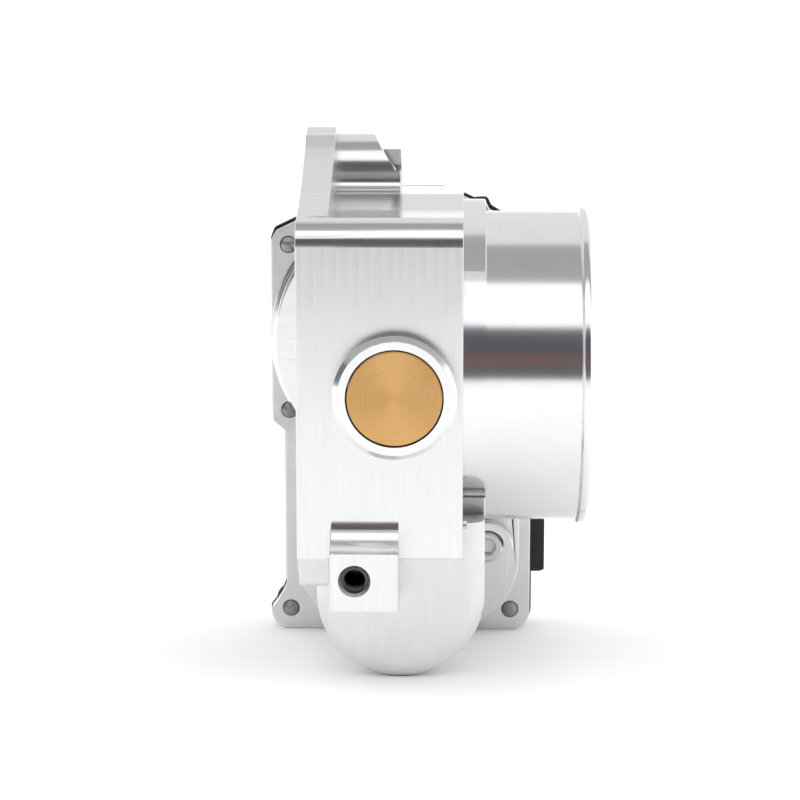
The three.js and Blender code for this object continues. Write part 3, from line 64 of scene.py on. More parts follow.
class Axis(Enum):
    """Axis that a piece is extruded along or turned about, with the order of its other two."""

    X = (1, 2, 0)
    Y = (0, 2, 1)
    Z = (0, 1, 2)

    def point(self, u: float, v: float, along: float) -> Vector:
        """Places a section point in space.

        Args:
            u: first section coordinate, mm.
            v: second section coordinate, mm.
            along: place along the axis, mm.

        Returns:
            The point in space.
        """
        place = [0.0, 0.0, 0.0]
        place[self.value[0]] = u
        place[self.value[1]] = v
        place[self.value[2]] = along
        return Vector(place)


class Body(Enum):
    """Moving bodies of the frame."""

    HOUSING = "housing"
    THROTTLE = "throttle"
    IDLER = "idler"
    ROTOR = "rotor"


# ---------------------------------------------------------------- outlines
def polar(centre: Point, radius: float, degrees: float) -> Point:
    """Returns the point at a radius and an angle about a centre."""
    angle = math.radians(degrees)
    return centre[0] + radius * math.cos(angle), centre[1] + radius * math.sin(angle)


def arc(centre: Point, radius: float, start: float, end: float, steps: int = 16) -> list[Point]:
    """Points along an arc.

    Args:
        centre: centre of the arc.
        radius: its radius.
        start: first angle in degrees.
        end: last angle in degrees.
        steps: number of straight steps.

    Returns:
        The points, both ends included.
    """
    return [polar(centre, radius, start + (end - start) * i / steps) for i in range(steps + 1)]


def circle(centre: Point, radius: float, sides: int = 64) -> list[Point]:
    """Returns the points of a whole circle, anticlockwise."""
    return arc(centre, radius, 0, 360, sides)[:-1]


def curve(start: Point, pull: Point, end: Point, steps: int = 14) -> list[Point]:
    """Points along a quadratic curve.

    Args:
        start: first point.
        pull: point that the curve bends towards.
        end: last point.
        steps: number of straight steps.

    Returns:
        The points, both ends included.
    """
    points = []
    for i in range(steps + 1):
        t = i / steps
        points.append(tuple((1 - t) ** 2 * a + 2 * t * (1 - t) * b + t * t * c
                            for a, b, c in zip(start, pull, end)))
    return points


def rounded(corners: Sequence[Corner], closed: bool = True) -> list[Point]:
    """Outline with each corner rounded by its own radius.

    Args:
        corners: (u, v, radius) of each corner; a radius of 0 leaves it sharp.
        closed: whether the outline runs back to its first corner.

    Returns:
        The points of the outline.
    """
    points = []
    count = len(corners)
    for i, (u, v, radius) in enumerate(corners):
        here = Vector((u, v))
        at_end = not closed and i in (0, count - 1)
        before = Vector(corners[i - 1][:2]) - here
        after = Vector(corners[(i + 1) % count][:2]) - here
        if radius <= 0 or at_end:
            points.append((u, v))
            continue
        before.normalize()
        after.normalize()
        half = before.angle(after) / 2
        middle = here + (before + after).normalized() * radius / math.sin(half)
        first = here + before * radius / math.tan(half) - middle
        last = here + after * radius / math.tan(half) - middle
        turn = math.pi - 2 * half
        steps = max(2, math.ceil(math.degrees(turn) / 9))
        way = 1 if first.x * last.y - first.y * last.x > 0 else -1
        start = math.atan2(first.y, first.x)
        for k in range(steps + 1):
            angle = start + way * turn * k / steps
            points.append((middle.x + radius * math.cos(angle), middle.y + radius * math.sin(angle)))
    return points


def area(points: Sequence[Point]) -> float:
    """Returns the signed area of an outline, positive when it runs anticlockwise."""
    return sum(a[0] * b[1] - b[0] * a[1] for a, b in zip(points, [*points[1:], points[0]])) / 2


def inset(points: Sequence[Point], depth: float) -> list[Point]:
    """Outline moved inwards by a depth, corner for corner.

    Args:
        points: the outline, anticlockwise.
        depth: how far each side moves in; negative moves it out.

    Returns:
        The moved outline, with as many points.
    """
    moved = []
    for i, here in enumerate(points):
        before = Vector(here) - Vector(points[i - 1])
        after = Vector(points[(i + 1) % len(points)]) - Vector(here)
        before.normalize()
        after.normalize()
        normals = [Vector((-d.y, d.x)) for d in (before, after)]
        middle = (normals[0] + normals[1]).normalized()
        stretch = max(0.35, middle.dot(normals[0]))
        moved.append(tuple(Vector(here) + middle * depth / stretch))
    return moved


# ---------------------------------------------------------------- solids
@dataclass
class Part:
    """One closed mesh in millimetres, with the joins and cuts that shape it."""

    name: str
    mesh: bpy.types.Mesh

    @classmethod
    def from_rings(cls, name: str, rings: Sequence[Sequence[Vector]], closed: bool = False) -> "Part":
        """Skin through rings of points.

        Args:
            name: name of the part.
            rings: rings with as many points each, or a single point for a pole.
            closed: whether the last ring joins the first, with no end caps.

        Returns:
            The closed part.
        """
        bm = bmesh.new()
        made = [[bm.verts.new(p) for p in ring] for ring in rings]
        pairs = list(zip(made, made[1:]))
        if closed:
            pairs.append((made[-1], made[0]))
        for low, high in pairs:
            sides = max(len(low), len(high))
            for i in range(sides):
                j = (i + 1) % sides
                corners = [low[i % len(low)], low[j % len(low)], high[j % len(high)], high[i % len(high)]]
                kept = [v for k, v in enumerate(corners) if v not in corners[:k]]
                if len(kept) > 2:
                    bm.faces.new(kept)
        if not closed:
            for ring in (made[0], made[-1]):
                if len(ring) > 2:
                    bm.faces.new(ring)
        bmesh.ops.recalc_face_normals(bm, faces=bm.faces)
        mesh = bpy.data.meshes.new(name)
        bm.to_mesh(mesh)
        bm.free()
        return cls(name, mesh)

    @classmethod
    def prism(cls, name: str, outline: Sequence[Point], axis: Axis, low: float, high: float,
              edges: tuple[float, float] = (0.0, 0.0), steps: int = 3) -> "Part":
        """Outline pushed along an axis, its two ends with rounded edges.

        Args:
            name: name of the part.
            outline: section in the axis's other two coordinates.
            axis: axis to push along.
            low: where it starts.
            high: where it ends.
            edges: edge radius at the low and at the high end.
            steps: number of steps round each edge.

        Returns:
            The closed part.
        """
        section = list(outline) if area(outline) > 0 else list(outline)[::-1]
        levels = []
        for radius, end, way in ((edges[0], low, 1), (edges[1], high, -1)):
            side = [(0.0, end)]
            if radius > 0:
                side = [(radius * (1 - math.sin(a)), end + way * radius * (1 - math.cos(a)))
                        for a in (math.pi / 2 * k / steps for k in range(steps + 1))]
            levels += side if way > 0 else side[::-1]
        rings = [[axis.point(u, v, place) for u, v in inset(section, depth)] for depth, place in levels]
        return cls.from_rings(name, rings)

    @classmethod
    def turned(cls, name: str, profile: Sequence[Point], axis: Axis, centre: Point = (0, 0),
               sides: int = 96) -> "Part":
        """Profile turned about an axis.

        Args:
            name: name of the part.
            profile: (radius, place along the axis) points. It starts and ends on the axis, or
                closes on itself as a ring.
            axis: axis to turn about.
            centre: where the axis passes, in its other two coordinates.
            sides: number of steps round.

        Returns:
            The closed part.
        """
        rings = []
        for radius, along in profile:
            if radius < 1e-6:
                rings.append([axis.point(*centre, along)])
            else:
                rings.append([axis.point(u, v, along) for u, v in circle(centre, radius, sides)])
        return cls.from_rings(name, rings, closed=profile[0][0] > 1e-6)

    @classmethod
    def rod(cls, name: str, radius: float, axis: Axis, low: float, high: float,
            centre: Point = (0, 0), sides: int = 48) -> "Part":
        """Returns a plain round bar, for joining and cutting."""
        return cls.turned(name, [(0, low), (radius, low), (radius, high), (0, high)], axis, centre, sides)

    @classmethod
    def block(cls, name: str, low: Sequence[float], high: Sequence[float], edge: float = 0.0) -> "Part":
        """Returns a block between two corners, its upright and end edges rounded alike."""
        corners = [(low[0], low[1]), (high[0], low[1]), (high[0], high[1]), (low[0], high[1])]
        outline = rounded([(u, v, edge) for u, v in corners])
        return cls.prism(name, outline, Axis.Z, low[2], high[2], (edge, edge))

    def combine(self, operation: str, others: Sequence["Part"]) -> "Part":
        """Joins other parts to this one, or cuts them from it.

        Args:
            operation: UNION, DIFFERENCE or INTERSECT.
            others: the parts to use; their meshes are used up.

        Returns:
            This part, changed.
        """
        base = bpy.data.objects.new(self.name, self.mesh)
        tools = [bpy.data.objects.new(other.name, other.mesh) for other in others]
        for thing in [base, *tools]:
            bpy.context.scene.collection.objects.link(thing)
        for tool in tools:
            modifier = base.modifiers.new("shape", "BOOLEAN")
            modifier.solver = "MANIFOLD"
            modifier.operation = operation
            modifier.object = tool
        bpy.context.view_layer.update()
        result = base.evaluated_get(bpy.context.evaluated_depsgraph_get())
        self.mesh = bpy.data.meshes.new_from_object(result)
        for thing in [base, *tools]:
            bpy.data.objects.remove(thing)
        return self

    def join(self, *others: "Part") -> "Part":
        """Returns this part joined with the others."""
        return self.combine("UNION", others)

    def cut(self, *others: "Part") -> "Part":
        """Returns this part with the others cut away."""
        return self.combine("DIFFERENCE", others)

    def tidy(self) -> "Part":
        """Returns this part with split flat faces merged and slivers closed up."""
        bm = bmesh.new()
        bm.from_mesh(self.mesh)
        bmesh.ops.remove_doubles(bm, verts=bm.verts, dist=0.004)
        bmesh.ops.dissolve_limit(bm, angle_limit=math.radians(0.4), verts=bm.verts, edges=bm.edges)
        bmesh.ops.dissolve_degenerate(bm, edges=bm.edges, dist=0.004)
        bmesh.ops.recalc_face_normals(bm, faces=bm.faces)
        bm.to_mesh(self.mesh)
        bm.free()
        return self

    def place(self, node: str, body: Body, slot: str, finishes: Sequence["Finish"],
              choose: Callable[[Vector, Vector], int] | None = None) -> bpy.types.Object:
        """Puts the finished mesh into the frame as the piece that stands for a node.

        Args:
            node: CAD node that this piece replaces.
            body: body that it moves with.
            slot: the record's material slot; not used.
            finishes: the finishes on the piece.
            choose: gives the index of a face's finish from its centre and normal, in millimetres.

        Returns:
            The placed object.
        """
        mesh = self.mesh
        mesh.materials.clear()
        for finish in finishes:
            mesh.materials.append(finish.material())
        for face in mesh.polygons:
            face.material_index = choose(face.center, face.normal) if choose else 0
            face.use_smooth = True
        mesh.set_sharp_from_angle(angle=SHARP_ANGLE)
        mesh.transform(Matrix.Translation(CROSSING) @ Matrix.Scale(MM, 4))
        piece = bpy.data.objects.new(self.name, mesh)
        bpy.context.scene.collection.objects.link(piece)
        weights = piece.modifiers.new("flat faces stay flat", "WEIGHTED_NORMAL")
        weights.keep_sharp = True
        weights.weight = 100
        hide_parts(node)
        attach(piece, body.value)
        LOG.info("%s: %d faces", self.name, len(mesh.polygons))
        return piece


# ---------------------------------------------------------------- finishes
def linear(hex_colour: str) -> tuple[float, float, float, float]:
    """Linear colour of an sRGB hex value.

    Args:
        hex_colour: six hex digits.

    Returns:
        Red, green, blue and an alpha of 1.
    """
    channels = [int(hex_colour[i:i + 2], 16) / 255 for i in (0, 2, 4)]
    values = [c / 12.92 if c <= 0.04045 else ((c + 0.055) / 1.055) ** 2.4 for c in channels]
    return values[0], values[1], values[2], 1.0


def add_node(tree: bpy.types.NodeTree, kind: str, inputs: dict | None = None, **settings) -> bpy.types.Node:
    """Adds a shader node with its settings and links.

    Args:
        tree: the material's node tree.
        kind: type of the node, without its "ShaderNode" prefix.
        inputs: socket name or number to the value it has or the output socket that feeds it.
        **settings: attributes of the node.

    Returns:
        The node.
    """
    node = tree.nodes.new("ShaderNode" + kind)
    for key, value in settings.items():
        setattr(node, key, value)
    for key, value in (inputs or {}).items():
        if isinstance(value, bpy.types.NodeSocket):
            tree.links.new(value, node.inputs[key])
        else:
            node.inputs[key].default_value = value
    return node


@dataclass(frozen=True)
class Finish:
    """Base of every finish: a named material with a plain shader, dressed by dress()."""

    name: str
    colour: str
    roughness: float
    metallic: float = 0.0
    ior: float = 1.5

    def material(self) -> bpy.types.Material:
        """Returns the Blender material, made the first time that it is asked for."""
        known = bpy.data.materials.get(self.name)
        if known:
            return known
        material = bpy.data.materials.new(self.name)
        material.use_nodes = True
        shader = next(n for n in material.node_tree.nodes if n.type == "BSDF_PRINCIPLED")
        shader.inputs["Base Color"].default_value = linear(self.colour)
        shader.inputs["Roughness"].default_value = self.roughness
        shader.inputs["Metallic"].default_value = self.metallic
        if not self.metallic:
            shader.inputs["IOR"].default_value = self.ior
        self.dress(material.node_tree, shader)
        return material

    def dress(self, tree: bpy.types.NodeTree, shader: bpy.types.Node) -> None:
        """Adds this finish's own pattern to the shader.

        Args:
            tree: the material's node tree.
            shader: its Principled shader.
        """
        raise NotImplementedError

    def vary(self, tree: bpy.types.NodeTree, shader: bpy.types.Node, pattern: bpy.types.NodeSocket,
             roughness: float, dark: str) -> None:
        """Lets a pattern move the roughness and the colour.

        Args:
            tree: the material's node tree.
            shader: its Principled shader.
            pattern: values from 0 to 1.
            roughness: roughness where the pattern is 1; it is the finish's own where it is 0.
            dark: hex colour where the pattern is 1.
        """
        spread = add_node(tree, "MapRange", {0: pattern, 3: self.roughness, 4: roughness})
        tree.links.new(spread.outputs[0], shader.inputs["Roughness"])
        mix = add_node(tree, "Mix", {"Factor": pattern, 6: linear(self.colour), 7: linear(dark)},
                       data_type="RGBA")
        tree.links.new(mix.outputs[2], shader.inputs["Base Color"])


def place_mm(tree: bpy.types.NodeTree) -> bpy.types.NodeSocket:
    """Returns the surface point in millimetres from the bore and shaft crossing."""
    spot = add_node(tree, "TexCoord").outputs["Object"]
    moved = add_node(tree, "VectorMath", {0: spot, 1: tuple(-CROSSING)}, operation="ADD")
    scaled = add_node(tree, "VectorMath", {0: moved.outputs[0], "Scale": 1 / MM}, operation="SCALE")
    return scaled.outputs[0]


def stretched(tree: bpy.types.NodeTree, spot: bpy.types.NodeSocket, grain: Sequence[float],
              detail: float = 2.0) -> bpy.types.NodeSocket:
    """Noise drawn out along the axes.

    Args:
        tree: the material's node tree.
        spot: place in millimetres.
        grain: size of the grain along each axis, in millimetres.
        detail: how many finer layers are added.

    Returns:
        Values round 0.5.
    """
    scaled = add_node(tree, "VectorMath", {0: spot, 1: tuple(1 / g for g in grain)}, operation="MULTIPLY")
    noise = add_node(tree, "TexNoise", {"Vector": scaled.outputs[0], "Scale": 1.0, "Detail": detail,
                                        "Roughness": 0.6})
    return noise.outputs["Fac"]


def bump(tree: bpy.types.NodeTree, shader: bpy.types.Node, height: bpy.types.NodeSocket, depth: float,
         strength: float = 1.0) -> None:
    """Feeds a height pattern into the shader's normal.

    Args:
        tree: the material's node tree.
        shader: its Principled shader.
        height: pattern from 0 to 1.
        depth: depth of the full pattern in millimetres.
        strength: share of the bump that shows.
    """
    relief = add_node(tree, "Bump", {"Height": height, "Distance": depth * MM, "Strength": strength})
    tree.links.new(relief.outputs["Normal"], shader.inputs["Normal"])


@dataclass(frozen=True)
class MilledAluminium(Finish):
    """Face-milled 6061 aluminium: cutter passes leave soft parallel bands and fine streaks; the bands fade in
    towards the top, which paints shade on the upper face.
    """

    metallic: float = 1.0
    grain: tuple[float, float, float] = (0.25, 4.0, 30.0)
    rough_side: float = 0.5
    dark: str = "C9CACC"
    depth: float = 0.004
    pass_width: float = 2.5
    band: float = 0.0
    band_axis: int = 0
    band_shade_bottom: float = 0.0
    band_shade_top: float = 1.0

    def dress(self, tree: bpy.types.NodeTree, shader: bpy.types.Node) -> None:
        """Streaks along the cutter's path, and a step where one pass meets the next; the steps fade in with
        height, a painted shade that darkens the top of the face.

        Args:
            tree: node tree of the material.
            shader: the surface shader that is dressed.
        """
        spot = place_mm(tree)
        streaks = stretched(tree, spot, self.grain)
        bump(tree, shader, streaks, self.depth)
        pattern = streaks
        if self.band > 0:
            axes = add_node(tree, "SeparateXYZ", {0: spot})
            across = axes.outputs[self.band_axis]
            wander = stretched(tree, spot, (5.0, 60.0, 60.0), 1.0)
            shifted = add_node(tree, "Math", {0: across, 1: wander}, operation="ADD")
            turns = add_node(tree, "Math", {0: shifted.outputs[0], 1: 1 / self.pass_width},
                             operation="MULTIPLY")
            saw = add_node(tree, "Math", {0: turns.outputs[0]}, operation="FRACT")
            # Painted shade: the pass bands fade in with height, so the upper face is darker and rougher.
            top_shade = add_node(tree, "MapRange", {0: axes.outputs[2], 1: self.band_shade_bottom, 2: self.band_shade_top})
            faded = add_node(tree, "Math", {0: saw.outputs[0], 1: top_shade.outputs[0]}, operation="MULTIPLY")
            scaled = add_node(tree, "Math", {0: faded.outputs[0], 1: self.band}, operation="MULTIPLY")
            mixed = add_node(tree, "Math", {0: scaled.outputs[0], 1: streaks}, operation="ADD")
            pattern = mixed.outputs[0]
        self.vary(tree, shader, pattern, self.rough_side, self.dark)


@dataclass(frozen=True)
class TurnedMetal(Finish):
    """Lathe-turned metal: rings so fine that they only stretch the highlights, drawn coarser."""

    metallic: float = 1.0
    axis: Axis = Axis.Y
    ring: float = 0.35
    rough_side: float = 0.3
    dark: str = "C4C5C8"
    depth: float = 0.003
    facing: bool = False
    stretch: float = 0.0

    def dress(self, tree: bpy.types.NodeTree, shader: bpy.types.Node) -> None:
        """Rings by radius on a faced end, or by place along the axis on a turned barrel.

        Args:
            tree: node tree of the material.
            shader: the surface shader that is dressed.
        """
        if self.stretch:
            shader.inputs["Anisotropic"].default_value = self.stretch
            way = add_node(tree, "Tangent", direction_type="RADIAL", axis=self.axis.name)
            tree.links.new(way.outputs[0], shader.inputs["Tangent"])
        spot = place_mm(tree)
        axes = add_node(tree, "SeparateXYZ", {0: spot})
        u, v, along = (axes.outputs[i] for i in self.axis.value)
        flat = add_node(tree, "CombineXYZ", {0: u, 1: v})
        radius = add_node(tree, "VectorMath", {0: flat.outputs[0]}, operation="LENGTH")
        run = radius.outputs["Value"] if self.facing else along
        rings = add_node(tree, "TexNoise", {"W": run, "Scale": 1 / self.ring, "Detail": 3.0,
                                            "Roughness": 0.65}, noise_dimensions="1D")
        bump(tree, shader, rings.outputs["Fac"], self.depth)
        smudge = stretched(tree, spot, (9.0, 9.0, 9.0), 3.0)
        mixed = add_node(tree, "Math", {0: rings.outputs["Fac"], 1: smudge}, operation="MULTIPLY")
        self.vary(tree, shader, mixed.outputs[0], self.rough_side, self.dark)


@dataclass(frozen=True)
class BlastedMetal(Finish):
    """Bead-blasted or as-drawn metal: an even fine grain with slight stains."""

    metallic: float = 1.0
    grain: float = 0.35
    rough_side: float = 0.6
    dark: str = "B9BABC"
    depth: float = 0.01

    def dress(self, tree: bpy.types.NodeTree, shader: bpy.types.Node) -> None:
        """Fine grain in the relief, broad stains in the colour."""
        spot = place_mm(tree)
        bump(tree, shader, stretched(tree, spot, (self.grain,) * 3), self.depth)
        stains = stretched(tree, spot, (14.0, 14.0, 14.0), 4.0)
        self.vary(tree, shader, stains, self.rough_side, self.dark)


@dataclass(frozen=True)
class MouldedPolymer(Finish):
    """Injection-moulded plastic or rubber: spark-eroded texture from the mould."""

    grain: float = 0.3
    rough_side: float = 0.6
    dark: str = "1B1C1E"
    depth: float = 0.012

    def dress(self, tree: bpy.types.NodeTree, shader: bpy.types.Node) -> None:
        """Mould texture in the relief, slow flow marks in the colour."""
        spot = place_mm(tree)
        bump(tree, shader, stretched(tree, spot, (self.grain,) * 3, 1.0), self.depth)
        flow = stretched(tree, spot, (22.0, 22.0, 7.0), 2.0)
        self.vary(tree, shader, flow, self.rough_side, self.dark)


# 6061 aluminium off the mill: bright, a little cool, highlights drawn out along the cutter's path.
# Its pass bands fade in from 16 to 34 mm up: real cutter marks, with a painted shade on the top of the face.
FACE_MILLED = MilledAluminium("face_milled_aluminium", "F7F7F7", 0.28, grain=(0.35, 5.0, 14.0),
                              rough_side=0.36, dark="E6E7E9", depth=0.003, pass_width=2.6, band=0.5,
                              band_shade_bottom=16.0, band_shade_top=34.0)
# The same billet after a finer cutter: near-mirror bands across fillets and ramps.
FINE_MILLED = MilledAluminium("fine_milled_aluminium", "EFEFF0", 0.16, grain=(12.0, 0.5, 0.5),
                              rough_side=0.24, dark="DEDFE1", depth=0.0015)
# Contour-milled faces off to the side: an even satin.
SATIN_MILLED = MilledAluminium("satin_milled_aluminium", "E9E9E9", 0.3, grain=(1.2, 8.0, 8.0),
                               rough_side=0.38, dark="DDDEDF", depth=0.0018)
# Turned spigot and collar: sharp reflections with a faint ring grain.
TURNED_BORE = TurnedMetal("turned_aluminium_spigot", "F0F0F0", 0.14, axis=Axis.X, rough_side=0.24,
                          dark="DCDDDF", depth=0.0016)
TURNED_BOSS = TurnedMetal("turned_aluminium_boss", "F0F0F0", 0.16, axis=Axis.Y, facing=True,
                          rough_side=0.26, dark="DCDDDF", depth=0.002)
# Turned bearing bronze: warm yellow-brown, fine record-like rings on the faced end.
TURNED_BRONZE = TurnedMetal("turned_bronze", "DBB078", 0.26, axis=Axis.Y, facing=True, ring=0.5,
                            rough_side=0.42, dark="C08A48", depth=0.012, stretch=0.6)
# Painted shade: the tapped thread is coloured dark grey for the shade inside the hole.
SHADED_TAPPED_HOLE = TurnedMetal("tapped_hole_painted_shade", "5A5B5C", 0.3, axis=Axis.Y, ring=0.5, rough_side=0.5,
                          dark="3A3B3C")
# Zinc plating: a brighter, bluer grey than stainless.
ZINC_STEEL = BlastedMetal("zinc_plated_steel", "D9DADC", 0.22, rough_side=0.36, dark="B4B6BA", depth=0.003)
# Ground bearing steel: close to a mirror.
BEARING_STEEL = TurnedMetal("ground_bearing_steel", "C9CACC", 0.15, axis=Axis.Y, facing=True, rough_side=0.25,
                            dark="A9ABAE")
# Turned valve plate: fine record grooves about the shaft side of the disc.
PLATE_BRASS = TurnedMetal("turned_brass_plate", "D8B56C", 0.22, axis=Axis.X, facing=True, rough_side=0.35,
                          dark="BC9550", depth=0.004)
MILLED_CASE = BlastedMetal("tumbled_aluminium_case", "EDEDED", 0.36, rough_side=0.48, dark="D5D6D8",
                           depth=0.006)
STAINLESS = BlastedMetal("passivated_stainless_steel", "A8A29D", 0.3, rough_side=0.45, dark="857F7B",
                         depth=0.004)
SPRING_STEEL = BlastedMetal("oiled_spring_steel", "7E7F83", 0.35, rough_side=0.5, dark="5E5F63")
BRASS = BlastedMetal("rolled_brass", "D2AE66", 0.3, rough_side=0.45, dark="B08C48", depth=0.004)
COPPER = BlastedMetal("drawn_copper", "C07A4C", 0.35, rough_side=0.5, dark="9C5C36", depth=0.004)
FERRITE = BlastedMetal("sintered_ferrite", "4B4B50", 0.6, metallic=0.4, rough_side=0.75, dark="3C3C40")
BLACK_PA66 = MouldedPolymer("glass_filled_black_polyamide", "1C1D1F", 0.5, ior=1.53, dark="151617")
NATURAL_PA46 = MouldedPolymer("natural_polyamide", "D8D2BF", 0.42, ior=1.53, dark="C9C1A8", depth=0.006)
BLACK_NBR = MouldedPolymer("black_nitrile_rubber", "1D1D1E", 0.7, ior=1.52, rough_side=0.85, dark="161617")
SOLDER_MASK = MouldedPolymer("green_solder_mask", "1F5B3A", 0.35, ior=1.55, rough_side=0.45, dark="18492E",
                             grain=1.2, depth=0.004)
WHITE_SWEEP = MouldedPolymer("white_paper_sweep", "FBFBFB", 0.9, ior=1.45, rough_side=0.95, dark="F7F7F7",
                             grain=0.8, depth=0.01)


# ---------------------------------------------------------------- housing
@dataclass
class Housing:
    """Billet housing: block, manifold flange, spigot, shaft boss, lug, motor barrel and drum."""

    bore: float = 36.0
    spigot: float = 38.1
    spigot_end: float = 46.2
    bead: float = 0.95
    collar: float = 41.0
    collar_waist: float = 39.4
    waist_half: float = 27.0
    collar_end: float = 21.1
    flange_x: float = -22.9
    flange_back: float = -15.7
    block_end: float = 15.7
    front: float = -44.5
    top: float = 40.3
    upper: float = 42.6
    bottom: float = -38.8
    fillet: float = 6.4
    ear_top: float = 56.6
    ear_crest: float = 58.35
    lower_edge: Point = (-36.5, -47.7)
    bolt: Point = (15.0, 47.0)
    bolt_radius: float = 9.0
    bolt_fillet: float = 3.0
    bolt_step: float = 52.4
    near_bolt: Point = (-36.7, 30.0)
    boss: float = 14.35
    boss_face: float = -50.0
    chamfer: float = 1.15
    plug_hole: float = 11.3
    lug: Point = (-7.0, -36.0)
    lug_width: float = 16.0
    lug_face: float = -51.5
    lug_bottom: float = -49.5
    lug_curve: float = 7.0
    lug_hole: Point = (-9.2, -42.4)
    motor: Point = (1.0, -52.4)
    motor_bore: float = 14.3
    barrel: float = 20.0
    barrel_z: float = -50.4
    web_top: float = -32.0
    barrel_front: float = -36.0
    barrel_fillet: float = 4.5
    drum: float = 33.79
    drum_front: float = 36.5
    rear_flange: float = 41.5
    rear: float = 47.3
    lobe: Sequence[float] = (-28.79, 30.99, -79.3, 20.0)
    screw: Point = (22.4, -55.2)
    screw_boss: float = 6.9
    screw_head: float = 4.7
    edge: float = 0.35
    bore_sides: int = 160

    def block_body(self) -> Part:
        """Returns the main block with its top fillet, ramp and upper flat."""
        outline = rounded([
            (self.front, self.bottom, 0.5), (self.front, self.top, self.fillet),
            (-22.0, self.top, 7.0), (-3.0, self.upper, 7.0), (22.0, self.upper, 1.0),
            (22.0, self.drum, 1.5), (self.rear_flange, self.drum - 2, 0.5),
            (self.rear_flange, self.bottom, 0),
        ])
        return Part.prism("block", outline, Axis.X, self.flange_x, self.block_end, (self.edge, self.edge))

    def flange_body(self) -> Part:
        """Returns the manifold flange with an ear above and below."""
        corner = self.front + self.fillet
        edge, low = self.lower_edge
        climb = curve((corner, self.top), (-18.0, self.top + 4.3), (-1.0, self.ear_top), 20)
        upper = arc((corner, self.top - self.fillet), self.fillet, 180, 90, 12) + climb[1:-1]
        rest = rounded([
            (-1.2, self.ear_top - 0.3, 0), (-1.0, self.ear_top, 0.2), (5.0, self.ear_crest, 1.5),
            (24.0, self.ear_top - 3.1, 5.0), (self.rear_flange, self.top, 3.0),
            (self.rear_flange, -self.top, 3.0), (24.0, 3.1 - self.ear_top, 5.0), (5.0, -self.ear_top, 5.0),
            (-1.0, -self.ear_top, 4.0), (-18.0, low, 8.0), (edge, low, 2.0), (edge, self.bottom, 0.5),
            (self.front, self.bottom, 0),
        ], closed=False)
        return Part.prism("flange", upper + rest[1:], Axis.X, self.flange_x, self.flange_back,
                          (self.edge, self.edge))

    def bolt_boss(self) -> Part:
        """Returns the upper bolt seat: slanted in front of the bolt, stepped down behind it."""
        y, z = self.bolt
        r = self.bolt_radius
        start = self.flange_back - 1
        head = Part.turned("bolt_boss", [(0, start), (r, start), (r, -0.15), (r - 0.15, 0), (0, 0)],
                           Axis.X, self.bolt, 96)
        hollow = arc((y - r - self.bolt_fillet, self.upper + self.bolt_fillet), self.bolt_fillet, 0, -90, 10)
        foot = Part.prism("foot", [(y + r, self.upper - 1), (y + r, z), (y - r, z), *hollow,
                                   (hollow[-1][0], self.upper - 1)], Axis.X, start, 0)
        top = z + r
        slant = [(-6.6, top), (-1.2, z + 0.5), (4, z + 0.5), (4, top + 3), (-6.6, top + 3)]
        share = (top - self.bolt_step) / r
        step_x = -6.6 + 5.4 * share
        step = [(-6.6, top), (step_x, self.bolt_step), (4, self.bolt_step), (4, top + 3), (-6.6, top + 3)]
        front = Part.prism("slant", slant, Axis.Y, y - r - 5, y - 3)
        whole = Part.prism("step", step, Axis.Y, y - r - 4.5, y + r + 5)
        return head.join(foot).cut(front, whole)

    def spigot_body(self) -> Part:
        """Returns the hose spigot with its rounded bead, and the collar with its two pads."""
        r = self.spigot
        end = self.spigot_end
        bead = rounded([(0, 0, 0), (r, 0, 0), (r, end - 2.7, 0.25), (r + self.bead, end - 2.5, 0.8),
                        (r + self.bead, end - 0.9, 0.8), (r - 0.1, end, 0.4), (0, end, 0)], closed=False)
        tube = Part.turned("spigot", bead, Axis.X, sides=self.bore_sides)
        step = self.collar_end
        half, reach = self.waist_half, self.collar + 2
        pads = Part.turned("collar", [(0, 0), (self.collar, 0), (self.collar, step - 0.3),
                                      (self.collar - 0.3, step), (0, step)], Axis.X, sides=self.bore_sides)
        pads.cut(Part.block("waist", (-1, -reach, -half), (step + 1, reach, half)))
        waist = Part.rod("waist_ring", self.collar_waist, Axis.X, 0, step - 0.02, sides=self.bore_sides)
        return pads.join(waist, tube)

    def barrel_body(self) -> Part:
        """Returns the motor barrel: round below, straight sides up to a flat top."""
        x, r = self.motor[0], self.barrel
        above = self.web_top + 8
        outline = [*arc((x, self.barrel_z), r, 180, 360, 96), (x + r, above), (x - r, above)]
        barrel = Part.prism("barrel", outline, Axis.Y, self.barrel_front, self.rear_flange + 1,
                            (self.barrel_fillet, 0), 10)
        top = Part.block("above", (x - r - 2, self.barrel_front - 2, self.web_top),
                         (x + r + 2, self.rear_flange + 2, above + 2))
        return barrel.cut(top)

    def lug_body(self) -> Part:
        """Returns the bracket lug with its hollow top curve."""
        back = self.barrel_front + 7
        high = self.lug[1] + self.lug_curve
        sweep = arc((self.lug_face, high), self.lug_curve, 0, -90, 16)
        outline = [(back, high), *sweep, (self.lug_face, self.lug_bottom), (back, self.lug_bottom)]
        x, half = self.lug[0], self.lug_width / 2
        return Part.prism("lug", outline, Axis.X, x - half, x + half, (self.edge, self.edge))

    def drum_body(self) -> Part:
        """Returns the rear drum with the hollow fillet at its foot, joined to the motor lobe."""
        r = self.drum
        foot = arc((r + 2.0, self.rear - 2.0), 2.0, 180, 90, 8)
        profile = [(0, self.drum_front), (r - 0.4, self.drum_front), (r, self.drum_front + 0.4), *foot,
                   (0, self.rear)]
        drum = Part.turned("drum", profile, Axis.Y, sides=self.bore_sides)
        left, right, low, corner = self.lobe
        lobe = rounded([(left, low, corner), (right, low, corner), (right, -30.0, 2), (right - 4, -22.0, 0),
                        (left + 4, -22.0, 0), (left, -30.0, 2)])
        plate = Part.prism("lobe", lobe, Axis.Y, self.rear_flange, self.rear, (0.5, 0))
        rim = Part.prism("rim", inset(lobe, 2.6), Axis.Y, self.rear_flange - 0.35, self.rear - 1, (0.3, 0))
        return drum.join(plate, rim)

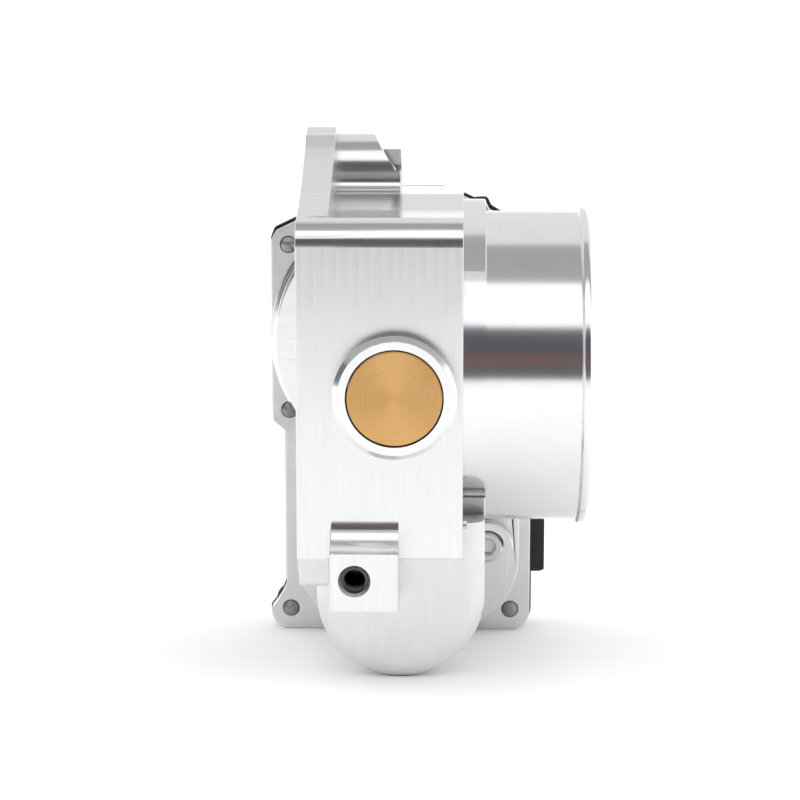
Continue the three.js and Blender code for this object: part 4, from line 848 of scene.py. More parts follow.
    def screw_roof(self) -> Part:
        """Returns the half-round boss that roofs the head of the front case screw."""
        x, z = self.screw
        r = self.screw_boss
        roof = Part.turned("screw_boss", rounded([
            (0, self.drum_front, 0), (r, self.drum_front, 0.5), (r, self.rear_flange + 1, 0),
            (0, self.rear_flange + 1, 0)], closed=False), Axis.Y, self.screw, 96)
        below = Part.block("below", (x - r - 1, self.drum_front - 1, z - r - 1),
                           (x + r + 1, self.rear_flange - 0.02, z))
        return roof.cut(below)

    def pockets(self) -> list[Part]:
        """Returns the cutting tools for the bore, the bearing seats, the motor and the holes."""
        front, rear = self.front - 8, self.rear + 1
        tools = [Part.rod("bore", self.bore, Axis.X, self.flange_x - 1, self.spigot_end + 1,
                          sides=self.bore_sides)]
        for side, mouth in ((-1, -self.boss_face + 1), (1, rear)):
            steps = [(0, 24), (4.4, 24), (4.4, 36.8), (8.3, 36.8), (8.3, 38.4), (self.plug_hole, 38.4),
                     (self.plug_hole, mouth), (0, mouth)]
            tools.append(Part.turned("bearing_seat", [(r, side * y) for r, y in steps], Axis.Y, sides=96))
        run = (self.flange_x - 1, self.block_end + 1)
        for y, z in (self.near_bolt, (self.near_bolt[0], -self.near_bolt[1]), self.bolt):
            tools.append(Part.rod("bolt_hole", 3.4, Axis.X, *run, centre=(y, z)))
        tools.append(Part.rod("tapped_hole", 2.6, Axis.X, self.flange_x - 1, self.flange_back - 1.9,
                              centre=(self.bolt[0], -self.bolt[1])))
        tools.append(Part.turned("groove", [(38.15, self.flange_x - 1), (38.15, self.flange_x + 2.9),
                                            (41.05, self.flange_x + 2.9), (41.05, self.flange_x - 1)],
                                 Axis.X, sides=self.bore_sides))
        tools.append(Part.turned("spring_pocket", [(15.0, 40.0), (26.49, 40.0), (26.49, rear), (15.0, rear)],
                                 Axis.Y, sides=96))
        tools.append(Part.rod("motor_bore", self.motor_bore, Axis.Y, -24.5, rear, self.motor, 96))
        tools.append(Part.rod("screw_hole", 2.3, Axis.Y, front, rear, self.screw, 32))
        tools.append(self.lug_thread())
        return tools

    def lug_thread(self) -> Part:
        """Returns the tool that leaves the tapped hole: a countersink and rings for its thread."""
        pitch, crest, root = 1.0, 2.5, 3.0
        mouth = self.lug_face
        points = [(0, mouth - 1), (crest + 2.0, mouth - 1), (root + 0.1, mouth + 0.9)]
        for i in range(11):
            start = mouth + 1.0 + i * pitch
            points += [(crest, start + 0.12), (crest, start + 0.28), (root, start + 0.68),
                       (root, start + 0.78)]
        points += [(crest, mouth + 12.3), (0, mouth + 13.8)]
        return Part.turned("lug_thread", points, Axis.Y, self.lug_hole, 48)

    def body(self) -> Part:
        """Returns the whole housing, joined and cut."""
        boss = Part.turned("boss", rounded([
            (0, self.front + 1, 0), (self.boss, self.front + 1, 0),
            (self.boss, self.boss_face + self.chamfer, 0.12),
            (self.boss - self.chamfer, self.boss_face, 0.12), (0, self.boss_face, 0),
        ], closed=False), Axis.Y, sides=128)
        whole = self.block_body().join(self.flange_body(), self.spigot_body(), self.barrel_body(),
                                       self.lug_body(), self.drum_body(), self.bolt_boss(), boss,
                                       self.screw_roof())
        counterbore = Part.rod("counterbore", self.screw_head, Axis.Y, self.drum_front - 1,
                               self.drum_front + 4.6, self.screw, 64)
        whole.name = "billet_housing"
        return whole.cut(*self.pockets(), counterbore).tidy()

    def finish_at(self, centre: Vector, normal: Vector) -> int:
        """Finish of a face of the housing.

        Args:
            centre: middle of the face.
            normal: its outward direction.

        Returns:
            Index into the list of finishes given in build().
        """
        from_bore = math.hypot(centre.y, centre.z)
        from_shaft = math.hypot(centre.x, centre.z)
        if from_bore < self.bore + 0.1:
            return 2
        if abs(centre.z - self.web_top) < 0.05:
            return 6
        if centre.x > self.block_end + 0.01 and from_bore < self.collar + 0.5:
            return 2
        # Faces inside the lug's tapped hole take the dark grey of painted shade.
        in_hole = math.hypot(centre.x - self.lug_hole[0], centre.z - self.lug_hole[1]) < 3.2
        if in_hole and centre.y > self.lug_face + 0.6:
            return 5
        if centre.y < self.front - 0.01 and from_shaft < self.boss + 0.5:
            return 3
        if self.drum_front < centre.y < self.rear - 0.01 and self.drum - 0.5 < from_shaft < self.drum + 2.1:
            return 3
        if min(abs(centre.y - self.front), abs(centre.y - self.lug_face)) < 0.01 and normal.y < -0.9:
            return 0
        if centre.y < self.rear_flange and abs(normal.x) < 0.5 and centre.z > self.bottom:
            return 1
        return 4

    def build(self) -> None:
        """Builds the housing and dresses it by face."""
        finishes = (FACE_MILLED, FINE_MILLED, TURNED_BORE, TURNED_BOSS, SATIN_MILLED, SHADED_TAPPED_HOLE,
                    MILLED_CASE)
        self.body().place("throttle_housing", Body.HOUSING, "machined_aluminium", finishes, self.finish_at)


# ---------------------------------------------------------------- case, cover and socket
COVER_SCREW_PLACES = ((-30.79, 24.59), (-30.79, -19.99), (-30.79, -74.9), (28.79, -74.9), (30.09, -19.99),
                      (30.09, 24.59))
MOTOR_AXIS = (1.0, -52.4)
IDLER_AXIS = (-5.7209, -31.8799)
REST_ANGLE = 7.0


@dataclass
class GearCase:
    """Aluminium case plate behind the housing, its sheet gasket and its own outline."""

    left: float = -35.39
    right: float = 34.09
    bottom: float = -80.7
    top: float = 40.39
    flat: float = 39.1
    front: float = 47.6
    floor: float = 50.6
    rear: float = 53.6
    wall: float = 3.6
    post: float = 4.6

    def outline(self, grow: float) -> list[Point]:
        """Outline of the case and cover in X and Z.

        Args:
            grow: how far it stands out past the case.

        Returns:
            The points of the outline.
        """
        left, right, bottom = self.left - grow, self.right + grow, self.bottom - grow
        foot, waist, top = left - 0.7, left + 3.4, self.top + grow
        level = math.degrees(math.asin((self.flat + grow) / top))
        start = math.degrees(math.acos(-21.49 / top))
        end = math.degrees(math.acos(18.49 / top))
        crest = math.sqrt(top ** 2 - 18.49 ** 2)
        side = rounded([(waist, -25.99, 0), (left, -22.99, 2.0), (left, 25.89, 1.4),
                        (left + 1, 27.89 + grow, 1.2), (*polar((0, 0), top, start), 0)], closed=False)
        crown = arc((0, 0), top, start, 180 - level, 8)[1:] + arc((0, 0), top, level, end, 10)
        shoulder = rounded([(18.49, crest, 0), (21.49 + grow, crest + 0.2, 1.3),
                            (22.59 + grow, crest - 2.1, 1.0), (right, 27.49, 2.5),
                            (right, bottom, 5.0), (foot, bottom, 5.0), (foot, bottom + 5.5, 0)], closed=False)
        ear = curve((foot, bottom + 5.5), (waist - 1, bottom + 9), (waist, bottom + 12.8), 14)
        return side + crown[:-1] + shoulder[:-1] + ear

    def pocket(self, margin: float, low: float, high: float) -> Part:
        """Space inside the case, less its wall and the screw posts.

        Args:
            margin: how much smaller the space is all round.
            low: where it starts.
            high: where it ends.

        Returns:
            The cutting tool.
        """
        left = self.left + 3.4 + self.wall + margin
        right = self.right - self.wall - margin
        upper = Part.rod("upper", self.top - 5.9 - margin, Axis.Y, low, high, sides=96)
        upper.cut(Part.block("under", (-60, low - 1, -60), (60, high + 1, -16)),
                  Part.block("beside", (right, low - 1, -60), (60, high + 1, 60)))
        middle = Part.block("middle", (left, low, -56.4), (right, high, 0), 0.0)
        lower = Part.rod("lower", 24 - margin, Axis.Y, low, high, MOTOR_AXIS, 96)
        posts = [Part.rod("post", self.post + margin, Axis.Y, low - 1, high + 1, at, 40)
                 for at in COVER_SCREW_PLACES]
        return upper.join(middle, lower).cut(*posts)

    def build(self) -> None:
        """Builds the case and its gasket."""
        body = Part.prism("milled_gear_case", self.outline(0), Axis.Y, self.front, self.rear, (0.4, 0.2))
        holes = [Part.rod("hole", 2.3, Axis.Y, self.front - 1, self.rear + 1, at, 32)
                 for at in (*COVER_SCREW_PLACES, (22.4, -55.2),
                            *(polar((0, 0), 30.24, a) for a in (150, 90, 30)))]
        holes += [Part.rod("hole", 1.8, Axis.Y, self.front - 1, self.rear + 1, polar(MOTOR_AXIS, 19, a), 32)
                  for a in (60, 240)]
        holes += [Part.rod("drum_hole", 26.6, Axis.Y, self.front - 1, self.rear + 1, sides=96),
                  Part.rod("motor_hole", 14.5, Axis.Y, self.front - 1, self.rear + 1, MOTOR_AXIS, 96),
                  Part.rod("pin_hole", 2.8, Axis.Y, self.front - 1, self.rear + 1, IDLER_AXIS, 32),
                  Part.rod("dowel_hole", 1.5, Axis.Y, self.front - 1, self.rear + 1, (28.44, 2.91), 32)]
        body.cut(self.pocket(0, self.floor, self.rear + 1), *holes).tidy()
        body.place("gear_case", Body.HOUSING, "cast_aluminium", (MILLED_CASE,))
        low, high = self.rear + 0.1, self.rear + 0.9
        gasket = Part.prism("sheet_gasket", self.outline(-0.5), Axis.Y, low, high)
        holes = [Part.rod("hole", 2.3, Axis.Y, low - 1, high + 1, at, 32) for at in COVER_SCREW_PLACES]
        gasket.cut(self.pocket(-0.3, low - 1, high + 1), *holes).tidy()
        gasket.place("cover_gasket", Body.HOUSING, "black_rubber", (BLACK_NBR,))


@dataclass
class Cover:
    """Moulded cover: a flange with limiter seats, a ribbed dome and the harness socket."""

    front: float = 54.6
    seat: float = 57.8
    outer: float = 73.4
    inner: float = 71.0
    wall: float = 2.3
    dome: Sequence[float] = (-26.51, 18.5, -73.0, 12.0)
    round: float = 31.49
    shell: Sequence[float] = (18.8, 38.34, 58.1, 73.1, -67.1, -30.6)
    pins: int = 6
    pitch: float = 4.8
    first_pin: float = -60.85
    pin_y: float = 65.6

    def dome_body(self, name: str, depth: float, low: float, high: float, edge: float) -> Part:
        """Dome of the cover or the hollow inside it.

        Args:
            name: name of the part.
            depth: how far inside the outer skin.
            low: where it starts.
            high: where it ends.
            edge: radius round its far edge.

        Returns:
            The part.
        """
        left, right, bottom, corner = self.dome
        r = self.round - depth
        box = rounded([(left + depth, bottom + depth, corner - depth), (right - depth, bottom + depth,
                       corner - depth), (right - depth, 0, 0), (left + depth, 0, 0)])
        crown = Part.turned(name, rounded([(0, low, 0), (r, low, 0), (r, high, edge), (0, high, 0)],
                                          closed=False), Axis.Y, sides=144)
        return crown.join(Part.prism("tail", box, Axis.Y, low, high, (0, edge), 6))

    def ribs(self) -> list[Part]:
        """Returns the stiffening ribs: spokes on top of the dome and gussets round its foot."""
        ribs = []
        top, low = self.outer, self.outer - 1.6
        for angle in range(0, 181, 30):
            (ax, az), (bx, bz) = polar((0, 0), 9, angle), polar((0, 0), 27.5, angle)
            nx, nz = polar((0, 0), 0.7, angle + 90)
            outline = [(ax - nx, az - nz), (bx - nx, bz - nz), (bx + nx, bz + nz), (ax + nx, az + nz)]
            ribs.append(Part.prism("spoke", outline, Axis.Y, low, top, (0, 0.25)))
        ribs.append(Part.turned("hub_ring", rounded([(7.6, low, 0), (9.4, low, 0), (9.4, top, 0.3),
                                                     (7.6, top, 0.3)]), Axis.Y, sides=72))
        for z in (-44.0, -52.0, -60.0):
            ribs.append(Part.block("cross_rib", (-22, low, z - 0.7), (14, top, z + 0.7), 0.2))
        for angle in (62, 90, 118, 152, 180):
            (ax, az), (bx, bz) = polar((0, 0), 30.6, angle), polar((0, 0), 34.6, angle)
            nx, nz = polar((0, 0), 0.75, angle + 90)
            outline = [(ax - nx, az - nz), (bx - nx, bz - nz), (bx + nx, bz + nz), (ax + nx, az + nz)]
            ribs.append(Part.prism("gusset", outline, Axis.Y, self.seat - 1, self.seat + 7, (0, 0.5)))
        return ribs

    def pin_places(self) -> list[float]:
        """Returns the height of each pin."""
        return [self.first_pin + i * self.pitch for i in range(self.pins)]

    def slot(self, z: float, low: float, high: float) -> Part:
        """Returns the tool for one pin's slot at a height, between two places along X."""
        return Part.block("slot", (low, self.pin_y - 0.7, z - 1.05), (high, self.pin_y + 0.7, z + 1.05))

    def build(self) -> None:
        """Builds the cover, its socket and the pins."""
        body = Part.prism("moulded_gear_cover", GearCase().outline(0.6), Axis.Y, self.front, self.seat,
                          (0.3, 0.8), 4)
        dome = self.dome_body("dome", 0, self.seat - 1, self.outer - 0.9, 3.2)
        hollow = self.dome_body("hollow", self.wall, self.front - 1, self.inner - 0.6, 1.6)
        lands = [Part.turned("land", rounded([(0, self.seat - 1, 0), (4.6, self.seat - 1, 0),
                                              (4.6, self.seat + 0.08, 0.05), (0, self.seat + 0.08, 0)],
                                             closed=False), Axis.Y, at, 48) for at in COVER_SCREW_PLACES]
        boss = Part.rod("pin_boss", 4.9, Axis.Y, 68.6, 72, IDLER_AXIS, 48)
        body.join(dome, *self.ribs(), *lands).cut(hollow).join(boss)
        right = self.dome[1]
        body.cut(Part.rod("pin_socket", 2.8, Axis.Y, 67, self.inner, IDLER_AXIS, 32),
                 *(Part.rod("hole", 2.3, Axis.Y, self.front - 1, self.seat + 2, at, 32)
                   for at in COVER_SCREW_PLACES),
                 *(self.slot(z, right - self.wall - 1, right + 1) for z in self.pin_places())).tidy()
        body.place("gear_cover", Body.HOUSING, "black_plastic", (BLACK_PA66,))
        self.socket().place("connector_shell", Body.HOUSING, "black_plastic", (BLACK_PA66,))
        for i, z in enumerate(self.pin_places()):
            y, x = self.pin_y, self.shell[1] - 4.0
            outline = rounded([(y - 0.4, z - 0.75, 0.1), (y + 0.4, z - 0.75, 0.1), (y + 0.4, z + 0.75, 0.1),
                               (y - 0.4, z + 0.75, 0.1)])
            blade = Part.prism(f"socket_blade_{i + 1}", outline, Axis.X, 13.5, x, (0, 0.3), 4)
            blade.place(f"terminal_pin_{i + 1}", Body.HOUSING, "brass", (BRASS,))

    def socket(self) -> Part:
        """Returns the harness socket with its key rib, grip ribs and latch bar."""
        x0, x1, y0, y1, z0, z1 = self.shell
        w = 2.0
        outer = [(y0, z0, 1.2), (y1, z0, 2.5), (y1, z1, 2.5), (y0, z1, 2.5)]
        inner = [(y0 + w, z0 + w, 1.2), (y1 - w, z0 + w, 1.2), (y1 - w, z1 - w, 1.2), (y0 + w, z1 - w, 1.2)]
        body = Part.prism("harness_socket", rounded(outer), Axis.X, x0, x1, (0, 0.35))
        lip = [(32.4, z0 - 1), (34.9, z0 - 1), (x1 + 1, z0 + 1.3), (x1 + 1, z0 - 1)]
        grooves = [Part.block("groove", (x0 - 1, y1 - 0.4, z - 0.6), (x1 - 3, y1 + 1, z + 0.6), 0.0)
                   for z in (z0 + 6, z0 + 9, z1 - 9, z1 - 6)]
        body.cut(Part.prism("hollow", rounded(inner), Axis.X, x0 + 2.2, x1 + 1), *grooves,
                 Part.prism("undercut", lip, Axis.Y, y0 - 1, y1 + 1))
        middle = (z0 + z1) / 2
        key = Part.block("key", (x0 + 1, y1 - w - 1.5, middle - 1), (x1 - 2, y1 - w + 0.5, middle + 1), 0.15)
        return body.join(key).cut(*(self.slot(z, x0 - 1, x0 + 3.2) for z in self.pin_places())).tidy()


# ---------------------------------------------------------------- screws
# Thread depth as a share of the pitch, and the socket's radius and depth as shares of the head's
THREAD_DEPTH = 0.6
KEY_SHARE = 0.52
KEY_DEPTH = 0.55


@dataclass
class Screw:
    """Machine screw along Y with a rounded head, a hexagon socket and a rolled thread."""

    name: str
    node: str
    at: Point
    head: float
    tip: float
    head_radius: float
    head_height: float
    radius: float = 2.0
    pitch: float = 0.7
    plain: float = 1.0
    finish: "Finish" = STAINLESS

    def build(self) -> None:
        """Builds the screw where it stands for its node."""
        way = 1 if self.head > self.tip else -1
        root = self.radius - THREAD_DEPTH * self.pitch
        tip = self.tip + way * 0.02
        points = [(0, tip), (root * 0.55, tip + way * 0.08), (root, tip + way * 0.55)]
        turns = int((abs(self.head - self.tip) - 0.8 - self.plain) / self.pitch)
        for i in range(turns):
            start = tip + way * (0.6 + i * self.pitch)
            points += [(self.radius, start + way * 0.3 * self.pitch),
                       (self.radius, start + way * 0.42 * self.pitch),
                       (root, start + way * 0.75 * self.pitch), (root, start + way * 0.9 * self.pitch)]
        top = self.head + way * self.head_height
        crown = rounded([(self.radius, self.head, 0), (self.head_radius, self.head, 0.2),
                         (self.head_radius, top, min(1.1, self.head_height * 0.4)), (0, top, 0)],
                        closed=False)
        body = Part.turned(self.name, [*points, (self.radius, points[-1][1] + way * 0.1), *crown], Axis.Y,
                           self.at, 48)
        key = self.head_radius * KEY_SHARE
        depth = top - way * self.head_height * KEY_DEPTH
        cone = [(0, depth - way * 0.4), (key * 0.8, depth), (key, depth), (key, top + way), (0, top + way)]
        body.cut(Part.turned("socket", cone, Axis.Y, self.at, 6),
                 Part.turned("countersink", [(0, top - way * 0.3), (key * 0.9, top - way * 0.3),
                                             (key * 1.12, top + way * 0.1), (0, top + way * 0.1)],
                             Axis.Y, self.at, 48)).tidy()
        body.place(self.node, Body.HOUSING, "stainless_steel", (self.finish,))


@dataclass
class Fasteners:
    """All the screws that hold the housing, the case, the cover and the motor together."""

    case_circle: float = 30.24

    def build(self) -> None:
        """Builds every screw."""
        for i, at in enumerate(COVER_SCREW_PLACES):
            Screw(f"cover_machine_screw_{i + 1}", f"cover_screw_{i + 1}", at, 57.9, 46.2, 3.6, 2.8).build()
        Screw("front_socket_screw", "case_screw_1", (22.4, -55.2), 41.0, 51.2, 4.4, 4.0,
              finish=ZINC_STEEL).build()
        for i, angle in enumerate((150, 90, 30)):
            at = polar((0, 0), self.case_circle, angle)
            Screw(f"inner_case_screw_{i + 1}", f"case_screw_{i + 2}", at, 50.9, 41.3, 3.2, 2.2).build()
        for i, angle in enumerate((60, 240)):
            at = polar(MOTOR_AXIS, 19, angle)
            Screw(f"motor_pan_screw_{i + 1}", f"motor_screw_{i + 1}", at, 52.8, 43.7, 2.7, 1.8, 1.5,
                  pitch=0.5).build()


# ---------------------------------------------------------------- shaft ends
@dataclass
class ShaftEnds:
    """Bearings, seals, circlip and O-ring, and the bronze plug in the front boss."""

    plug_radius: float = 11.0
    plug_face: float = -49.95
    plug_depth: float = 4.0
    bearing: float = 38.7
    width: float = 7.0
    clip_seat: float = 46.0
    clip_inner: float = 8.6
    clip_outer: float = 11.0
    clip_thickness: float = 1.1

    def bearing_body(self, name: str, side: int) -> Part:
        """Builds a shielded ball bearing.

        Args:
            name: name of the mesh.
            side: -1 for the front of the shaft, 1 for the rear.

        Returns:
            The bearing where it stands.
        """
        a, b = self.bearing, self.bearing + self.width
        half = [(4.3, a + 0.3), (4.6, a), (6.0, a), (6.2, a + 0.25), (6.2, a + 0.6), (6.5, a + 0.6),
                (7.9, a + 0.45), (9.2, a + 0.6), (9.4, a + 0.35), (9.6, a + 0.05), (9.7, a), (10.6, a),
                (11.0, a + 0.4)]
        rest = [(r, a + b - y) for r, y in reversed(half)]
        return Part.turned(name, [(r, side * y) for r, y in half + rest], Axis.Y, sides=96)

    def build(self) -> None:
        """Builds both ends of the shaft."""
        r, y = self.plug_radius, self.plug_face
        profile = rounded([(0, y + self.plug_depth, 0), (r, y + self.plug_depth, 0), (r, y, 0.35), (0, y, 0)],
                          closed=False)
        plug = Part.turned("bronze_end_plug", profile, Axis.Y, sides=160)
        plug.place("end_plug", Body.HOUSING, "bronze", (TURNED_BRONZE,))
        for side, where in ((-1, "front"), (1, "rear")):
            race = self.bearing_body(f"{where}_ball_bearing", side)
            race.place(f"{where}_bearing", Body.HOUSING, "stainless_steel", (BEARING_STEEL,))
            near, far = 37.0 * side, 38.3 * side
            lip = [(4.3, near + side * 0.45), (4.9, near), (7.8, near), (8.0, near + side * 0.2),
                   (8.0, far - side * 0.2), (7.8, far), (5.4, far), (5.0, far - side * 0.5),
                   (4.3, far - side * 0.65)]
            seal = Part.turned(f"{where}_lip_seal", lip, Axis.Y, sides=72)
            seal.place(f"{where}_shaft_seal", Body.HOUSING, "black_rubber", (BLACK_NBR,))
        low = self.clip_seat
        inner, outer, top = self.clip_inner, self.clip_outer, low + self.clip_thickness
        ring = rounded([(inner, low, 0.1), (outer, low, 0.1), (outer, top, 0.1), (inner, top, 0.1)])
        clip = Part.turned("retaining_ring", ring, Axis.Y, sides=96)
        eyes = [Part.rod("eye", 1.25, Axis.Y, low + 0.03, low + 1.07, (x, 9.0), 24) for x in (-2.6, 2.6)]
        holes = [Part.rod("eye_hole", 0.6, Axis.Y, low - 1, low + 2, (x, 9.0), 20) for x in (-2.6, 2.6)]
        gap = Part.block("gap", (-1.6, low - 1, 0), (1.6, low + 2, 13))
        clip.join(*eyes).cut(gap, *holes).tidy()
        clip.place("bearing_circlip", Body.HOUSING, "spring_steel", (SPRING_STEEL,))
        section = circle((39.6, -22.9 + 1.15 + 0.25), 1.15, 20)
        ring = Part.turned("flange_seal_ring", section, Axis.X, sides=144)
        ring.place("flange_o_ring", Body.HOUSING, "black_rubber", (BLACK_NBR,))


# ---------------------------------------------------------------- throttle
@dataclass
class Throttle:
    """Shaft, valve plate and the two screws that hold it; drawn shut, then turned to rest."""

    shaft: float = 4.0
    front: float = -44.8
    rear: float = 65.4
    plate: float = 35.6
    thickness: float = 2.0
    screws: Sequence[float] = (-14.0, 14.0)

    def turned_to_rest(self, part: Part) -> Part:
        """Returns the part turned about the shaft to the rest opening."""
        part.mesh.transform(Matrix.Rotation(math.radians(REST_ANGLE), 4, "Y"))
        return part

    def build(self) -> None:
        """Builds the shaft, the plate and its screws."""
        r = self.shaft
        bar = Part.turned("ground_shaft", rounded([
            (0, self.front, 0), (r, self.front, 0.5), (r, self.rear, 0.5), (0, self.rear, 0)],
            closed=False), Axis.Y, sides=72)
        half = self.thickness / 2 + 0.3
        bar.cut(Part.block("slot", (-half, -35.9, -6), (half, 35.9, 6)),
                *(Part.block("seat", (3.3, y - 3.8, -6), (6, y + 3.8, 6)) for y in self.screws),
                *(Part.rod("hole", 1.9, Axis.X, -6, 6, (y, 0), 32) for y in self.screws)).tidy()
        self.turned_to_rest(bar).place("throttle_shaft", Body.THROTTLE, "stainless_steel", (BEARING_STEEL,))
        t = self.thickness / 2
        disc = Part.turned("butterfly_plate", rounded([
            (0, -t, 0), (self.plate, -t, 0.35), (self.plate, t, 0.35), (0, t, 0)], closed=False),
            Axis.X, sides=160)
        disc.cut(*(Part.rod("hole", 1.9, Axis.X, -3, 3, (y, 0), 32) for y in self.screws)).tidy()
        self.turned_to_rest(disc).place("throttle_plate", Body.THROTTLE, "brass", (PLATE_BRASS,))
        for i, y in enumerate(self.screws):
            points = [(0, -3.9), (1.1, -3.9), (1.6, -3.4)]
            for k in range(12):
                points += [(1.6, -3.1 + 0.5 * k), (1.35, -2.9 + 0.5 * k), (1.35, -2.8 + 0.5 * k)]
            points += [(1.6, 3.4), (1.6, 3.6), *rounded([(2.9, 3.6, 0), (3.0, 3.8, 0.1), (2.6, 5.3, 0.8),
                                                         (0, 5.3, 0)], closed=False)]
            screw = Part.turned(f"plate_pan_screw_{i + 1}", points, Axis.X, (y, 0), 48)
            screw.cut(Part.rod("socket", 1.3, Axis.X, 4.3, 6, (y, 0), 6)).tidy()
            self.turned_to_rest(screw).place(f"plate_screw_{i + 1}", Body.THROTTLE, "stainless_steel",
                                             (STAINLESS,))


# ---------------------------------------------------------------- gears
@dataclass
class GearTrain:
    """Sector on the shaft, double intermediate gear and motor pinion, with what holds them."""

    module: float = 0.79973
    backlash: float = 0.34
    pressure: float = 20.0
    sector_teeth: int = 66
    small_teeth: int = 15
    large_teeth: int = 42
    pinion_teeth: int = 12
    sector_low: float = 54.0
    sector_high: float = 60.0
    large_low: float = 62.0
    large_high: float = 67.0

    def tooth(self, teeth: int, angle: float, centre: Point) -> list[Point]:
        """Outline of one tooth from root to root, its flanks slightly crowned.

        Args:
            teeth: number of teeth of the gear.
            angle: where the tooth points, in radians.
            centre: middle of the gear.

        Returns:
            The points of the tooth.
        """
        m = self.module
        pitch_radius = m * teeth / 2
        slope = math.tan(math.radians(self.pressure))
        half = math.pi * m / 4 - self.backlash / 2
        flank = []
        for step in (-1.2, -0.8, -0.3, 0.2, 0.6, 0.84, 0.9):
            radius = pitch_radius + step * m
            crown = 0.05 * m * max(0.0, step) ** 2
            relief = 0.1 * m if step > 0.85 else 0.0
            width = (half - step * m * slope - crown - relief) / radius
            flank.append((radius, min(width, math.pi / teeth * 0.92)))
        sides = [(radius, angle - width) for radius, width in flank]
        sides += [(radius, angle + width) for radius, width in reversed(flank)]
        return [(centre[0] + r * math.cos(a), centre[1] + r * math.sin(a)) for r, a in sides]

    def teeth(self, teeth: int, first: float, centre: Point, count: int) -> list[Point]:
        """Returns the outline of a run of teeth, from the angle of the first in radians."""
        step = 2 * math.pi / teeth
        return [point for i in range(count) for point in self.tooth(teeth, first + i * step, centre)]

    def wheel(self, name: str, teeth: int, first: float, centre: Point, low: float, high: float) -> Part:
        """Returns a whole gear with broken ends to its teeth."""
        outline = self.teeth(teeth, first, centre, teeth)
        return Part.prism(name, outline, Axis.Y, low, high)

    def sector(self) -> Part:
        """Returns the toothed sector with its hub, window and stop lug."""
        step = 2 * math.pi / self.sector_teeth
        towards = math.atan2(IDLER_AXIS[1], IDLER_AXIS[0])
        start, end = towards - 4 * step, towards + 17 * step
        outline = [(0.0, 0.0), *self.teeth(self.sector_teeth, start, (0, 0), 22)]
        body = Part.prism("toothed_sector", outline, Axis.Y, self.sector_low, self.sector_high)
        low, high = 51.0, self.sector_high + 1
        hub = Part.turned("hub", rounded([(0, low, 0), (10, low, 0.4), (10, high, 0.6), (0, high, 0)],
                                         closed=False), Axis.Y, sides=96)
        lug_end = end + 0.6 * step
        for radius, top in ((26.19, self.sector_low + 1), (29.39, self.sector_low - 0.8)):
            fan = [(0.0, 0.0), *((radius * math.cos(a), radius * math.sin(a))
                                 for a in (lug_end - 0.14 + 0.14 * k / 4 for k in range(5)))]
            body = body.join(Part.prism("stop_lug", fan, Axis.Y, low, top))
        first, last = towards + 0.25, end - 0.3
        ring = [(r * math.cos(a), r * math.sin(a))
                for r, sweep in ((14.0, range(13)), (21.19, range(12, -1, -1)))
                for a in (first + (last - first) * k / 12 for k in sweep)]
        window = Part.prism("window", ring, Axis.Y, low - 1, high + 1)
        hole = Part.rod("shaft_hole", 4.3, Axis.Y, low - 1, high + 1, sides=64)
        return body.join(hub).cut(window, hole).tidy()

    def intermediate(self) -> Part:
        """Returns the double gear: a small pinion under a dished wheel."""
        to_shaft = math.atan2(IDLER_AXIS[1], IDLER_AXIS[0]) + math.pi
        to_motor = math.atan2(MOTOR_AXIS[1] - IDLER_AXIS[1], MOTOR_AXIS[0] - IDLER_AXIS[0])
        small = self.wheel("double_gear", self.small_teeth, to_shaft + math.pi / self.small_teeth, IDLER_AXIS,
                           self.sector_low - 0.3, self.large_low + 0.5)
        large = self.wheel("large_wheel", self.large_teeth, to_motor, IDLER_AXIS, self.large_low,
                           self.large_high)
        high = self.large_high + 0.9
        hub = Part.turned("hub", rounded([(0, self.large_low, 0), (5, self.large_low, 0), (5, high, 0.4),
                                          (0, high, 0)], closed=False), Axis.Y, IDLER_AXIS, 64)
        dish = Part.turned("dish", rounded([(7, self.large_low + 3.2, 0.8), (13.6, self.large_low + 3.2, 0.8),
                                            (14.0, high + 1, 0), (6.6, high + 1, 0)]), Axis.Y, IDLER_AXIS, 96)
        holes = [Part.rod("hole", 1.6, Axis.Y, self.large_low - 1, high + 1, polar(IDLER_AXIS, 10.3, a), 32)
                 for a in range(0, 360, 60)]
        bore = Part.rod("bore", 2.8, Axis.Y, 50, 70, IDLER_AXIS, 48)
        return small.join(large, hub).cut(dish, *holes, bore).tidy()

    def spring(self) -> Part:
        """Returns the coiled return spring with square ends."""
        turns, radius, wire = 2.6, 20.745, 0.84
        low, high = 41.15, 46.15
        rings = []
        steps = 200
        for i in range(steps + 1):
            angle = 2 * math.pi * turns * i / steps
            y = low + (high - low) * i / steps
            rings.append([Vector(((radius + wire * math.cos(a)) * math.cos(angle), y + wire * math.sin(a),
                                  (radius + wire * math.cos(a)) * math.sin(angle)))
                          for a in (2 * math.pi * k / 14 for k in range(14))])
        return Part.from_rings("coiled_return_spring", rings)

